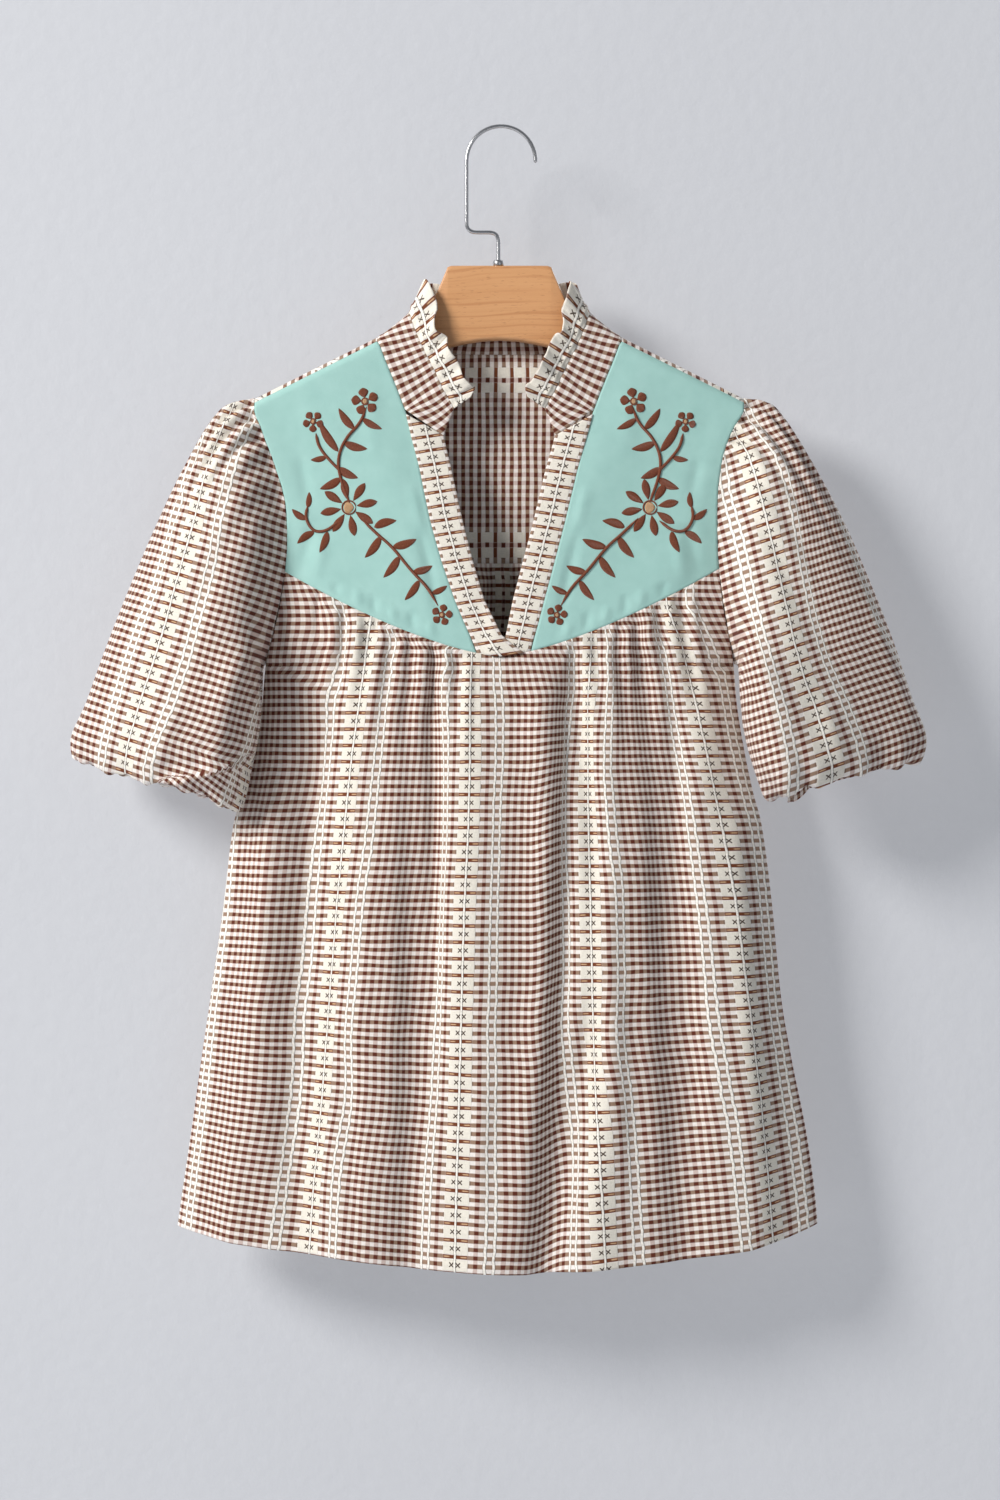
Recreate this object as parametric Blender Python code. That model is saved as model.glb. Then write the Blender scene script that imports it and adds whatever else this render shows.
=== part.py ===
"""Puff sleeve blouse with a frilled stand collar, held flat on a plain wooden hanger.

Sizes are millimetres in this file and metres in the meshes. X runs across, to the right as
seen from the front, Z is up, and the front faces -Y. The origin is the inner top of the
hanger's hook. Each cloth piece is one wall over a named surface function.
"""

import math

import bmesh
import bpy
import numpy as np

MM = 0.001
WALL = 1.2
BAND_WALL = 1.4
GAP = 0.3
HALF = GAP / 2

SHOULDER_X = 184.5
NECK_X = 92.3
SHOULDER_Z = -159.0
SHOULDER_SLOPE = 0.5
RIDGE = 9.0
SEAM_ARC = 8.2
UNDERARM_Z = -406.0
BACK_SEAM_Z = -328.0
BAND_TOP_Z = -229.6

HANGER_HALF = 6.5
WIRE = 1.55


def table(names, *rows):
    """Columns of numbers by name, from rows written in that order."""
    grid = np.array(rows, float)
    return {name: grid[:, i] for i, name in enumerate(names.split())}


def at(rows, key, name, value):
    """Straight interpolation of one column over a key column that may fall or rise."""
    keys = rows[key]
    if keys[0] > keys[-1]:
        return np.interp(-np.asarray(value, float), -keys, rows[name])
    return np.interp(value, keys, rows[name])


def soft(rows, key, name, value):
    """Smooth interpolation that keeps to the rows and never runs past them."""
    keys = rows[key]
    data = rows[name]
    value = np.asarray(value, float)
    if keys[0] > keys[-1]:
        keys = -keys
        value = -value
    step = np.diff(keys)
    slope = np.diff(data) / step
    inner = np.where(
        slope[:-1] * slope[1:] > 0,
        2 * slope[:-1] * slope[1:] / np.where(slope[:-1] + slope[1:] == 0, 1, slope[:-1] + slope[1:]),
        0.0,
    )
    tangent = np.concatenate([[slope[0]], inner, [slope[-1]]])
    value = np.clip(value, keys[0], keys[-1])
    i = np.clip(np.searchsorted(keys, value, side="right") - 1, 0, len(keys) - 2)
    h = step[i]
    f = (value - keys[i]) / h
    a = (1 + 2 * f) * (1 - f) ** 2 * data[i]
    b = f * (1 - f) ** 2 * h * tangent[i]
    c = f * f * (3 - 2 * f) * data[i + 1]
    d = f * f * (f - 1) * h * tangent[i + 1]
    return a + b + c + d


def smooth(value):
    """0 below 0, 1 above 1 and an even curve between."""
    value = np.clip(value, 0.0, 1.0)
    return value * value * (3 - 2 * value)


# Edges of the body, seen from the front: the armhole down to the underarm, then the side seam.
SIDES = table(
    "z left right",
    (-160, 184.5, 184.5),
    (-214, 184.3, 183.8),
    (-226, 180.0, 177.0),
    (-240, 174.8, 170.8),
    (-258, 168.3, 166.4),
    (-275, 162.8, 164.2),
    (-291, 160.0, 163.6),
    (-312, 159.4, 163.8),
    (-336, 161.0, 165.0),
    (-360, 164.6, 167.6),
    (-384, 170.2, 172.0),
    (-406, 176.0, 176.2),
    (-432, 178.6, 178.4),
    (-466, 184.2, 183.6),
    (-500, 192.4, 190.6),
    (-526, 200.4, 197.4),
    (-583, 207.4, 205.0),
    (-658, 217.9, 212.4),
    (-703, 224.6, 220.1),
    (-763, 233.0, 232.0),
    (-808, 239.7, 238.1),
    (-832, 243.0, 240.0),
)

# How far the front and the back stand from the middle plane, and the half width of the armhole.
DEPTHS = table(
    "z front back arm",
    (-110, 11.0, 14.0, 10.0),
    (-160, 11.0, 14.0, 10.0),
    (-205, 12.5, 13.5, 10.0),
    (-229, 14.5, 13.5, 11.0),
    (-260, 17.5, 14.5, 13.0),
    (-300, 21.0, 16.5, 14.5),
    (-350, 25.5, 19.5, 14.0),
    (-400, 29.5, 23.0, 13.0),
    (-500, 33.0, 27.0, 12.0),
    (-600, 36.0, 30.0, 12.0),
    (-700, 40.0, 33.0, 12.0),
    (-860, 46.0, 37.0, 12.0),
)

# Lower edge of the blouse.
HEM = table(
    "x z",
    (-243, -829.0),
    (-232, -831.8),
    (-202, -838.5),
    (-172, -843.0),
    (-127, -847.5),
    (-97, -851.0),
    (-60, -855.5),
    (-7, -858.5),
    (20, -859.5),
    (68, -856.5),
    (128, -851.0),
    (188, -843.5),
    (218, -835.5),
    (240, -827.5),
)

# Edges of the two neck bands, distances from the middle line, right side counted positive.
BANDS = table(
    "z left_out left_in right_out right_in",
    (-229.6, -65.6, -42.2, 65.6, 42.0),
    (-267.8, -58.2, -34.6, 56.6, 33.0),
    (-297.8, -52.0, -28.0, 49.4, 26.0),
    (-327.8, -43.6, -20.4, 41.6, 18.2),
    (-357.8, -33.4, -11.6, 33.6, 10.4),
    (-384.0, -22.4, 1.2, 26.8, 5.2),
    (-401.0, -16.1, 19.1, 22.6, 1.6),
)

# Neck seam from the band's corner over the shoulder to the middle of the back, with the edge
# of the stand above it and the free edge of the ruffle. "arc" counts from the shoulder's ridge,
# towards the front.
COLLAR = table(
    "at across arc edge_x edge_y edge_z free_x free_y free_z",
    (0.0, 42.2, 0.0, 34.2, -15.0, -213.0, 22.5, -18.0, -205.5),
    (1.0, 54.0, 0.0, 38.0, -15.2, -206.0, 23.6, -19.5, -198.0),
    (2.0, 65.6, 0.0, 42.4, -15.2, -198.5, 28.2, -20.5, -189.0),
    (3.0, 70.4, 0.0, 46.4, -15.0, -189.5, 34.4, -20.8, -178.5),
    (4.0, 75.2, 0.0, 51.0, -14.6, -180.0, 40.4, -20.4, -169.5),
    (5.0, 80.2, 0.0, 55.6, -14.2, -171.0, 45.2, -19.4, -160.0),
    (6.0, 85.4, 0.0, 60.2, -13.4, -161.5, 48.8, -17.8, -148.5),
    (7.0, 90.0, 0.0, 64.0, -11.6, -152.0, 51.2, -15.4, -137.0),
    (8.0, 92.3, 8.2, 66.4, -8.6, -145.2, 53.8, -11.6, -126.5),
    (9.0, 92.0, 4.0, 67.6, -4.2, -141.2, 56.4, -6.2, -120.4),
    (10.0, 91.0, 0.0, 67.8, 0.6, -139.6, 58.0, 0.0, -118.6),
    (11.0, 89.0, -4.6, 66.8, 5.4, -139.8, 58.0, 6.4, -118.6),
    (12.0, 86.0, -9.2, 64.4, 9.8, -140.6, 56.0, 11.8, -119.2),
    (13.0, 81.0, -14.4, 60.0, 13.0, -141.6, 53.0, 15.4, -120.2),
    (14.0, 70.0, -23.8, 52.0, 15.2, -142.6, 46.0, 18.4, -121.6),
    (15.0, 50.0, -35.8, 38.0, 17.0, -143.2, 34.0, 20.4, -122.6),
    (16.0, 25.0, -49.6, 19.0, 17.8, -143.5, 17.0, 21.4, -123.2),
    (17.0, 0.0, -62.2, 0.0, 18.2, -143.6, 0.0, 21.8, -123.4),
)

# Neck seam on the front, from the band's corner up to the shoulder.
NECK_SIDE = table(
    "z x",
    (-162.5, 92.3),
    (-166.2, 90.0),
    (-178.4, 85.4),
    (-191.0, 80.2),
    (-203.8, 75.2),
    (-216.6, 70.4),
    (-229.6, 65.6),
)

# Folds of the front: where each runs at the seam, half way and at the hem, its half width
# and how far it stands out there.
FRONT_FOLDS = table(
    "seam half hem width top middle low",
    (-133, -134, -146, 16, -3.0, -7.0, -5.0),
    (-100, -99, -108, 19, 2.0, 4.0, 5.0),
    (-70, -67, -66, 12, -2.0, -6.0, -5.0),
    (-48, -47, -40, 6, -1.5, -2.5, 0.0),
    (-16, -18, -16, 21, 2.0, 5.5, 5.0),
    (52, 48, 33, 10, -4.0, -10.0, -6.0),
    (74, 76, 74, 17, 2.0, 7.0, 6.0),
    (107, 122, 138, 13, -3.0, -7.0, -4.0),
    (140, 165, 182, 20, 1.0, 5.0, 6.0),
    (-158, -182, -204, 14, 1.0, 3.5, 4.5),
)

# Folds of the back, the same way.
BACK_FOLDS = table(
    "seam half hem width top middle low",
    (-104, -132, -158, 18, -2.0, -5.5, -6.0),
    (-66, -84, -98, 20, 2.0, 5.5, 6.0),
    (-26, -34, -44, 14, -2.5, -7.0, -6.0),
    (8, 10, 14, 22, 2.0, 6.5, 7.0),
    (46, 56, 68, 15, -2.5, -7.0, -6.0),
    (84, 104, 124, 20, 2.0, 5.0, 6.0),
    (124, 156, 182, 16, -1.5, -5.0, -5.0),
)

# Gathers below a seam: from where to where, how many, and how high.
FRONT_GATHERS = table("start end waves height", (-130, -14, 7, 2.0), (40, 152, 7, 2.0))
BACK_GATHERS = table("start end waves height", (-96, 96, 10, 2.0))

# Sleeve sections, left one: outer end, inner end, how far the inner end lies forward, how
# deep the section is to the front and the back, and how far it bows to the body.
LEFT_SLEEVE = table(
    "at out_x out_z in_x in_z in_y front back bow",
    (0.00, -196.0, -203.0, -180.0, -405.4, 0.0, 17.0, 15.0, 21.0),
    (0.06, -203.0, -205.5, -183.6, -408.0, 2.0, 24.0, 20.0, 20.5),
    (0.14, -217.9, -220.0, -184.6, -414.0, 7.0, 32.0, 25.0, 20.0),
    (0.24, -237.6, -252.0, -183.6, -424.0, 11.5, 39.0, 29.0, 17.5),
    (0.36, -259.0, -296.0, -181.8, -436.0, 15.0, 44.0, 33.0, 13.0),
    (0.48, -278.6, -342.0, -181.4, -448.0, 16.5, 47.0, 35.0, 8.0),
    (0.60, -296.8, -389.0, -183.6, -466.0, 17.0, 48.0, 36.0, 3.5),
    (0.71, -311.6, -429.0, -187.4, -484.0, 17.0, 47.0, 35.0, 1.0),
    (0.81, -323.8, -462.0, -191.8, -502.5, 16.5, 42.0, 32.0, 0.0),
    (0.88, -319.4, -476.0, -196.2, -513.5, 15.0, 34.0, 27.0, 0.0),
    (0.94, -309.0, -474.5, -203.0, -507.0, 11.0, 28.0, 23.0, 0.0),
    (1.00, -303.0, -465.0, -208.0, -495.0, 8.0, 24.0, 20.5, 0.0),
)

# The right one, mirrored to the same side.
RIGHT_SLEEVE = table(
    "at out_x out_z in_x in_z in_y front back bow",
    (0.00, -195.0, -203.0, -180.0, -405.4, 0.0, 17.0, 15.0, 16.0),
    (0.06, -201.5, -205.0, -183.4, -408.0, 2.0, 24.0, 20.0, 15.5),
    (0.14, -214.4, -219.0, -184.2, -414.0, 7.0, 32.0, 25.0, 15.5),
    (0.24, -234.4, -252.0, -183.4, -424.0, 11.5, 39.0, 29.0, 13.5),
    (0.36, -257.4, -296.0, -181.8, -436.0, 15.0, 44.0, 33.0, 10.5),
    (0.48, -277.0, -342.0, -181.8, -448.0, 16.5, 47.0, 35.0, 7.0),
    (0.60, -294.6, -389.0, -184.2, -464.0, 17.0, 48.0, 36.0, 3.0),
    (0.71, -308.0, -429.0, -188.4, -480.0, 17.0, 47.0, 35.0, 1.0),
    (0.81, -319.8, -462.0, -194.2, -495.0, 16.5, 42.0, 32.0, 0.0),
    (0.88, -314.6, -477.0, -200.4, -505.5, 15.0, 34.0, 27.0, 0.0),
    (0.94, -306.0, -475.5, -207.0, -501.0, 11.0, 28.0, 23.0, 0.0),
    (1.00, -300.0, -467.0, -212.0, -490.5, 8.0, 24.0, 20.5, 0.0),
)

# Upper and lower edges of the wooden hanger, half of it.
WOOD = table(
    "x top low",
    (0.0, -104.4, -160.4),
    (14.0, -104.4, -161.2),
    (28.0, -104.4, -163.6),
    (36.6, -104.5, -165.6),
    (39.2, -105.6, -166.4),
    (44.4, -118.0, -168.2),
    (49.0, -128.8, -170.2),
    (52.0, -134.4, -171.8),
    (70.0, -147.4, -180.8),
    (91.5, -160.9, -191.0),
    (120.0, -174.6, -204.6),
    (150.0, -189.6, -219.0),
    (168.0, -198.8, -228.0),
    (172.6, -202.8, -228.2),
    (175.0, -208.2, -225.2),
)

# Middle line of the hook's wire below its round part.
HOOK = table(
    "x z",
    (-0.8, -100.2),
    (-0.8, -84.6),
    (-1.5, -81.6),
    (-3.3, -79.6),
    (-6.4, -78.8),
    (-19.0, -78.8),
    (-22.2, -77.9),
    (-24.1, -75.8),
    (-24.8, -72.8),
)
HOOK_CENTRE_X = 1.2
HOOK_RADIUS = 26.0


def side_at(x, z):
    """Distance of the body's edge from the middle, on the side that x is on."""
    left = soft(SIDES, "z", "left", z)
    right = soft(SIDES, "z", "right", z)
    return np.where(np.asarray(x) < 0, left, right)


def ridge_z(x):
    """Height of the shoulder's ridge, carried on above the neck."""
    return SHOULDER_Z - (np.abs(x) - NECK_X) * SHOULDER_SLOPE


def depth_at(x, z, name, nominal=None):
    """Distance of the cloth from the middle plane, before its folds.

    A panel gives its own nominal share of the width, which holds good at its side edges.
    """
    share = np.clip(np.abs(x) / side_at(x, z), 0.0, 1.0)
    if nominal is not None:
        share = share + (nominal - share) * smooth((nominal - 0.85) / 0.15)
    low = smooth((-352 - z) / 62)
    outer = 4.0 - 1.8 * low
    inner = 1.0 + 0.5 * low
    profile = (1 - share**outer) ** (1 / inner)
    bottom = np.clip((z - UNDERARM_Z) / 60, 0.0, 1.0)
    arm = at(DEPTHS, "z", "arm", z) * np.sqrt(1 - (1 - bottom) ** 2)
    full = soft(DEPTHS, "z", name, z)
    drop = np.clip((ridge_z(x) - z) / RIDGE, 0.0, 1.0)
    return (arm + (full - arm) * profile) * np.sqrt(1 - (1 - drop) ** 2)


def front_point(x, z, nominal=None):
    return np.stack([x, -depth_at(x, z, "front", nominal), z], axis=-1)


def back_point(x, z, nominal=None):
    return np.stack([x, depth_at(x, z, "back", nominal), z], axis=-1)


def seam_z(x):
    """Yoke seam of the front."""
    return -400.0 + 65.0 * (np.abs(x) / 163.0) ** 1.45


def over_shoulder(x, arc):
    """Point at an arc length from the ridge, towards the front where arc is positive."""
    turn = np.clip(np.abs(arc), 0.0, RIDGE * math.pi / 2)
    z = ridge_z(x) - RIDGE * (1 - np.cos(turn / RIDGE)) - (np.abs(arc) - turn)
    share = np.clip(np.abs(x) / SHOULDER_X, 0.0, 1.0)
    edge = side_at(x, z) - SHOULDER_X
    across = x + np.sign(x) * share**6 * edge
    away = np.where(arc > 0, -depth_over(x, z, "front"), depth_over(x, z, "back"))
    return np.stack([across, away, z], axis=-1)


def depth_over(x, z, name):
    """Depth for a column that starts at x on the ridge and follows the armhole down."""
    share = np.clip(np.abs(x) / SHOULDER_X, 0.0, 1.0)
    across = x + np.sign(x) * share**6 * (side_at(x, z) - SHOULDER_X)
    edge = side_at(across, z)
    part = np.clip(np.abs(across) / edge, 0.0, 1.0)
    bottom = np.clip((z - UNDERARM_Z) / 60, 0.0, 1.0)
    arm = at(DEPTHS, "z", "arm", z) * np.sqrt(1 - (1 - bottom) ** 2)
    full = soft(DEPTHS, "z", name, z)
    drop = np.clip((ridge_z(x) - z) / RIDGE, 0.0, 1.0)
    return (arm + (full - arm) * (1 - part**4)) * np.sqrt(1 - (1 - drop) ** 2)


def folds(rows, x, down):
    """Height of the folds at a share of the way down from the seam."""
    low = np.clip((down - 0.5) * 2, 0, 1)
    up = np.clip(down * 2, 0, 1)
    fade = smooth(down / 0.10)
    height = np.zeros(np.broadcast(x, down).shape)
    for i in range(len(rows["seam"])):
        centre = rows["seam"][i] + (rows["half"][i] - rows["seam"][i]) * up
        centre = centre + (rows["hem"][i] - rows["half"][i]) * low
        size = rows["top"][i] + (rows["middle"][i] - rows["top"][i]) * smooth(up)
        size = size + (rows["low"][i] - rows["middle"][i]) * low
        width = rows["width"][i] * (0.85 + 0.3 * down)
        height = height + size * fade * np.exp(-(((x - centre) / width) ** 2))
    return height


def gather_height(gathers, x_seam, down):
    """Small even waves just below a seam."""
    rise = smooth(down / 0.03) * (1 - smooth((down - 0.04) / 0.20))
    height = np.zeros(np.broadcast(x_seam, down).shape)
    for i in range(len(gathers["start"])):
        start = gathers["start"][i]
        end = gathers["end"][i]
        share = (x_seam - start) / (end - start)
        window = smooth(share / 0.08) * smooth((1 - share) / 0.08)
        wave = np.cos(2 * math.pi * share * gathers["waves"][i])
        height = height - gathers["height"][i] * window * wave * rise
    return height


def front_body_point(s, t):
    """Front below the yokes; s runs from side to side and t from the seam to the hem."""
    s = np.asarray(s, float)
    t = np.asarray(t, float)
    left_top = -float(side_at(-1, -336.0))
    right_top = float(side_at(1, -334.0))
    x_top = np.where(s < 0, -s * left_top, s * right_top)
    z_top = seam_z(x_top) - HALF * 1.15
    x_low = np.where(s < 0, s * 243.0, s * 240.0)
    z_low = np.interp(x_low, HEM["x"], HEM["z"])
    z_edge = np.where(s < 0, seam_z(left_top) + (HEM["z"][0] - seam_z(left_top)) * t, 0.0)
    z_edge = np.where(s < 0, z_edge, seam_z(right_top) + (HEM["z"][-1] - seam_z(right_top)) * t)
    x = s * side_at(s, z_edge - HALF)
    z = z_top + (z_low - z_top) * t
    height = folds(FRONT_FOLDS, x, t) + gather_height(FRONT_GATHERS, x_top, t)
    inside = smooth((1 - np.abs(s)) / 0.14)
    point = front_point(x, z, np.abs(s))
    point[..., 1] -= height * inside + HALF * (1 + smooth(t / 0.12))
    return point


def back_body_point(s, t):
    """Back below its yoke, the same way."""
    s = np.asarray(s, float)
    t = np.asarray(t, float)
    top = side_at(s, BACK_SEAM_Z)
    x_low = np.where(s < 0, s * 243.0, s * 240.0)
    z_low = np.interp(x_low, HEM["x"], HEM["z"])
    low_edge = np.where(s < 0, HEM["z"][0], HEM["z"][-1])
    start = BACK_SEAM_Z - HALF
    z_edge = start + (low_edge - start) * t
    x = s * side_at(s, z_edge)
    z = start + (z_low - start) * t
    height = folds(BACK_FOLDS, x, t) + gather_height(BACK_GATHERS, s * top, t)
    inside = smooth((1 - np.abs(s)) / 0.14)
    point = back_point(x, z, np.abs(s))
    point[..., 1] += height * inside + HALF * (1 + smooth(t / 0.12))
    return point


def patch(top, low, inner, outer, s, t):
    """Four curves filled in; each gives x and z for a share of its length."""
    s = np.asarray(s, float)[..., None]
    t = np.asarray(t, float)[..., None]
    zero = np.zeros_like(s)
    one = np.ones_like(s)
    rule = (1 - t) * top(s) + t * low(s) + (1 - s) * inner(t) + s * outer(t)
    corners = (1 - s) * (1 - t) * top(zero) + s * (1 - t) * top(one)
    corners = corners + (1 - s) * t * low(zero) + s * t * low(one)
    return rule - corners


def yoke_point(side, s, t):
    """Front yoke; s runs from the neck to the armhole and t from the shoulder to the seam."""
    name = "left_out" if side < 0 else "right_out"

    def neck(share):
        share = share[..., 0]
        marks = NECK_SHARE["z"].copy()
        marks[-1] = corner_z
        z = np.interp(share, NECK_SHARE["t"], marks)
        x = np.where(z > BAND_TOP_Z, at(NECK_SIDE, "z", "x", z), np.abs(at(BANDS, "z", name, z)))
        x = x + HALF * 1.05
        return np.stack([x, z], axis=-1)

    def arm(share):
        share = share[..., 0]
        z = arm_top_z + (arm_low_z - arm_top_z) * share
        return np.stack([side_at(side, z) - HALF, z], axis=-1)

    def shoulder(share):
        share = share[..., 0]
        x = NECK_X + HALF + (float(side_at(side, -209.0)) - NECK_X - GAP) * share
        z = over_shoulder(x, np.full_like(x, SEAM_ARC + HALF * 2))[..., 2]
        return np.stack([x, z], axis=-1)

    def low(share):
        share = share[..., 0]
        start = corner_x
        end = float(side_at(side, -336.0)) - HALF
        x = start + (end - start) * share
        return np.stack([x, seam_z(x) + HALF * 1.15], axis=-1)

    corner_x = abs(float(at(BANDS, "z", name, -397.0))) + HALF * 1.05
    corner_z = float(seam_z(corner_x)) + HALF * 1.15
    corner_x = abs(float(at(BANDS, "z", name, corner_z))) + HALF * 1.05
    corner_z = float(seam_z(corner_x)) + HALF * 1.15
    end = np.array([[1.0]])
    arm_top_z = float(shoulder(end)[0, 1])
    arm_low_z = float(low(end)[0, 1])
    s, t = np.broadcast_arrays(np.asarray(s, float), np.asarray(t, float))
    flat = patch(shoulder, low, neck, arm, s, t)
    x = flat[..., 0] * side
    z = flat[..., 1]
    edge = smooth(s / 0.2) * smooth((1 - s) / 0.2) * smooth(t / 0.2) * smooth((1 - t) / 0.15)
    height = 1.1 * edge * np.sin(5.0 * s + 3.0 * t + 0.6 * side)
    point = front_point(x, z)
    point[..., 1] -= height
    return point


NECK_SHARE = table(
    "t z",
    (0.00, -162.8),
    (0.05, -166.2),
    (0.10, -178.4),
    (0.15, -191.0),
    (0.20, -203.8),
    (0.25, -216.6),
    (0.30, -229.6),
    (0.46, -267.8),
    (0.58, -297.8),
    (0.70, -327.8),
    (0.82, -357.8),
    (0.93, -384.0),
    (1.00, -397.0),
)


def lift(x, z):
    """How far the left band stands forward where it crosses over the right one."""
    return 2.0 * smooth((x + 15) / 13) * smooth((-336 - z) / 24)


def band_point(side, s, t):
    """Neck band; s runs from its outer to its inner edge and t down its length."""
    outer, inner = ("left_out", "left_in") if side < 0 else ("right_out", "right_in")
    z = BAND_TOP_Z - HALF + (-399.6 - BAND_TOP_Z + HALF) * t
    a = at(BANDS, "z", outer, z) - side * HALF
    b = at(BANDS, "z", inner, z)
    x = a + (b - a) * s
    low = seam_z(x) + HALF * (1.6 if side < 0 else 2.6)
    z = z + (low + 399.6) * smooth((t - 0.85) / 0.15)
    point = front_point(x, z)
    if side < 0:
        point[..., 1] -= lift(x, z)
    return point


def collar_rows(u):
    """Lower edge, upper edge and free edge of the collar at u, -1 to 1 round the neck."""
    u = np.asarray(u, float)
    side = np.where(u < 0, -1.0, 1.0)
    k = 17.0 * (1 - np.abs(u))
    across = at(COLLAR, "at", "across", k)
    arc = at(COLLAR, "at", "arc", k)
    front = k <= 7.0
    z_front = np.where(k < 2.0, BAND_TOP_Z, np.interp(across, NECK_SIDE["x"][::-1], NECK_SIDE["z"][::-1]))
    flat = front_point(side * across, z_front)
    joined = over_shoulder(side * across, arc)
    between = np.clip(k - 7.0, 0.0, 1.0)[..., None]
    corner = front_point(side * 90.0, np.full_like(k, -166.2))
    lip = over_shoulder(side * 92.3, np.full_like(k, 8.2))
    link = corner + (lip - corner) * between
    lower = np.where((k <= 7.0)[..., None], flat, np.where((k < 8.0)[..., None], link, joined))
    upper = np.stack([side * soft(COLLAR, "at", "edge_x", k), soft(COLLAR, "at", "edge_y", k), soft(COLLAR, "at", "edge_z", k)], axis=-1)
    free = np.stack([side * soft(COLLAR, "at", "free_x", k), soft(COLLAR, "at", "free_y", k), soft(COLLAR, "at", "free_z", k)], axis=-1)
    return lower, upper, free


def stand_point(u, w):
    """Collar stand; w runs from the neck seam to the ruffle."""
    lower, upper, free = collar_rows(u)
    w = np.asarray(w, float)[..., None]
    start = 0.022
    share = start + (0.988 - start) * w
    return lower + (upper - lower) * share


def ruffle_point(u, w):
    """Collar ruffle with its waves; w runs from the stand to the free edge."""
    u, w = np.broadcast_arrays(np.asarray(u, float), np.asarray(w, float))
    lower, upper, free = collar_rows(u)
    step = 0.004
    a = collar_rows(np.clip(u - step, -1, 1))[1]
    b = collar_rows(np.clip(u + step, -1, 1))[1]
    along = b - a
    along = along / np.linalg.norm(along, axis=-1, keepdims=True)
    rise = free - upper
    out = np.cross(along, rise)
    out = out / np.linalg.norm(out, axis=-1, keepdims=True)
    wave = np.sin(2 * math.pi * RUFFLE_WAVES * round_share(u))
    height = (0.35 + 2.9 * w**1.2) * wave
    return upper + rise * (0.016 + 0.984 * w[..., None]) + out * height[..., None]


RUFFLE_WAVES = 34


def round_share(u):
    """Share of the neck's way round at u, even in length."""
    return np.interp(u, ROUND["u"], ROUND["share"])


def measure_round():
    """Length of the stand's upper edge, as a table of shares."""
    u = np.linspace(-1, 1, 201)
    line = collar_rows(u)[1]
    steps = np.linalg.norm(np.diff(line, axis=0), axis=1)
    total = np.concatenate([[0.0], np.cumsum(steps)])
    return {"u": u, "share": total / total[-1]}


ROUND = measure_round()


def back_yoke_point(s, t):
    """Back yoke; s runs from armhole to armhole, t from its upper edge down to its seam."""
    s, t = np.broadcast_arrays(np.asarray(s, float), np.asarray(t, float))
    x = s * SHOULDER_X
    size = np.abs(x)
    across = COLLAR["across"][8:][::-1]
    arcs = COLLAR["arc"][8:][::-1]
    start = np.where(size > NECK_X, SEAM_ARC, np.interp(size, across, arcs)) - HALF
    end = -(ridge_z(x) - BACK_SEAM_Z - HALF - RIDGE + RIDGE * math.pi / 2)
    arc = start + (end - start) * t
    return over_shoulder(x * (1 - 0.0008), arc)


def armhole_loop(side):
    """The armhole's corners in order round it, from the panels' own rows."""
    front_rows = FRONT_ROWS[FRONT_ROWS <= UNDERARM_SHARE + 1e-6]
    back_rows = BACK_ROWS[BACK_ROWS <= BACK_UNDERARM_SHARE + 1e-6]
    over = back_yoke_point(np.full(len(YOKE_OVER), float(side)), YOKE_OVER)
    front = yoke_point(side, np.ones(len(YOKE_ROWS)), YOKE_ROWS)
    lower = front_body_point(np.full(len(front_rows), float(side)), front_rows)
    back = back_body_point(np.full(len(back_rows), float(side)), back_rows)
    top = int(np.argmax(over[:, 2]))
    line = [over[i] for i in range(top, -1, -1)]
    line += [*front, *lower[:-1]]
    line.append((lower[-1] + back[-1]) / 2)
    line += [*back[-2::-1]]
    line += [over[i] for i in range(len(over) - 1, top - 1, -1)]
    line = np.array(line)
    middle = (line[0, 2] + line[:, 2].min()) / 2
    half = line[0, 2] - middle
    turn = np.arccos(np.clip((line[:, 2] - middle) / half, -1, 1))
    low = int(np.argmin(line[:, 2]))
    turn[low:] = 2 * math.pi - turn[low:]
    turn[0] = 0.0
    turn[-1] = 2 * math.pi
    return turn, line


def armhole(side, turn):
    """The armhole's loop; turn 0 is the shoulder's tip and pi the underarm, front side first."""
    marks, line = LOOPS[side]
    turn = np.mod(np.asarray(turn, float), 2 * math.pi)
    return np.stack([np.interp(turn, marks, line[:, i]) for i in range(3)], axis=-1)


def sleeve_base(side, turn, t):
    """Sleeve without its folds."""
    rows = LEFT_SLEEVE if side < 0 else RIGHT_SLEEVE
    turn, t = np.broadcast_arrays(np.asarray(turn, float), np.asarray(t, float))
    get = {name: soft(rows, "at", name, t) for name in rows if name != "at"}
    middle_x = (get["out_x"] + get["in_x"]) / 2
    middle_z = (get["out_z"] + get["in_z"]) / 2
    half_x = (get["out_x"] - get["in_x"]) / 2
    half_z = (get["out_z"] - get["in_z"]) / 2
    length = np.hypot(half_x, half_z)
    wave = np.sin(turn)
    bow = get["bow"] * np.abs(wave)
    x = middle_x + half_x * np.cos(turn) + bow * half_z / length
    z = middle_z + half_z * np.cos(turn) - bow * half_x / length
    y = -get["in_y"] * (1 - np.cos(turn)) / 2
    y = y - np.where(wave >= 0, get["front"], get["back"]) * wave
    ring = np.stack([x * -side, y, z], axis=-1)
    seam = armhole(side, turn)
    start = smooth(t / 0.11)[..., None]
    outward = np.zeros_like(seam)
    outward[..., 0] = side * (0.6 + 0.8 * smooth((-325 - seam[..., 2]) / 50))
    outward[..., 0] += side * 0.3 * smooth((seam[..., 2] + 252) / 14)
    return seam + outward + (ring - seam) * start


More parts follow.
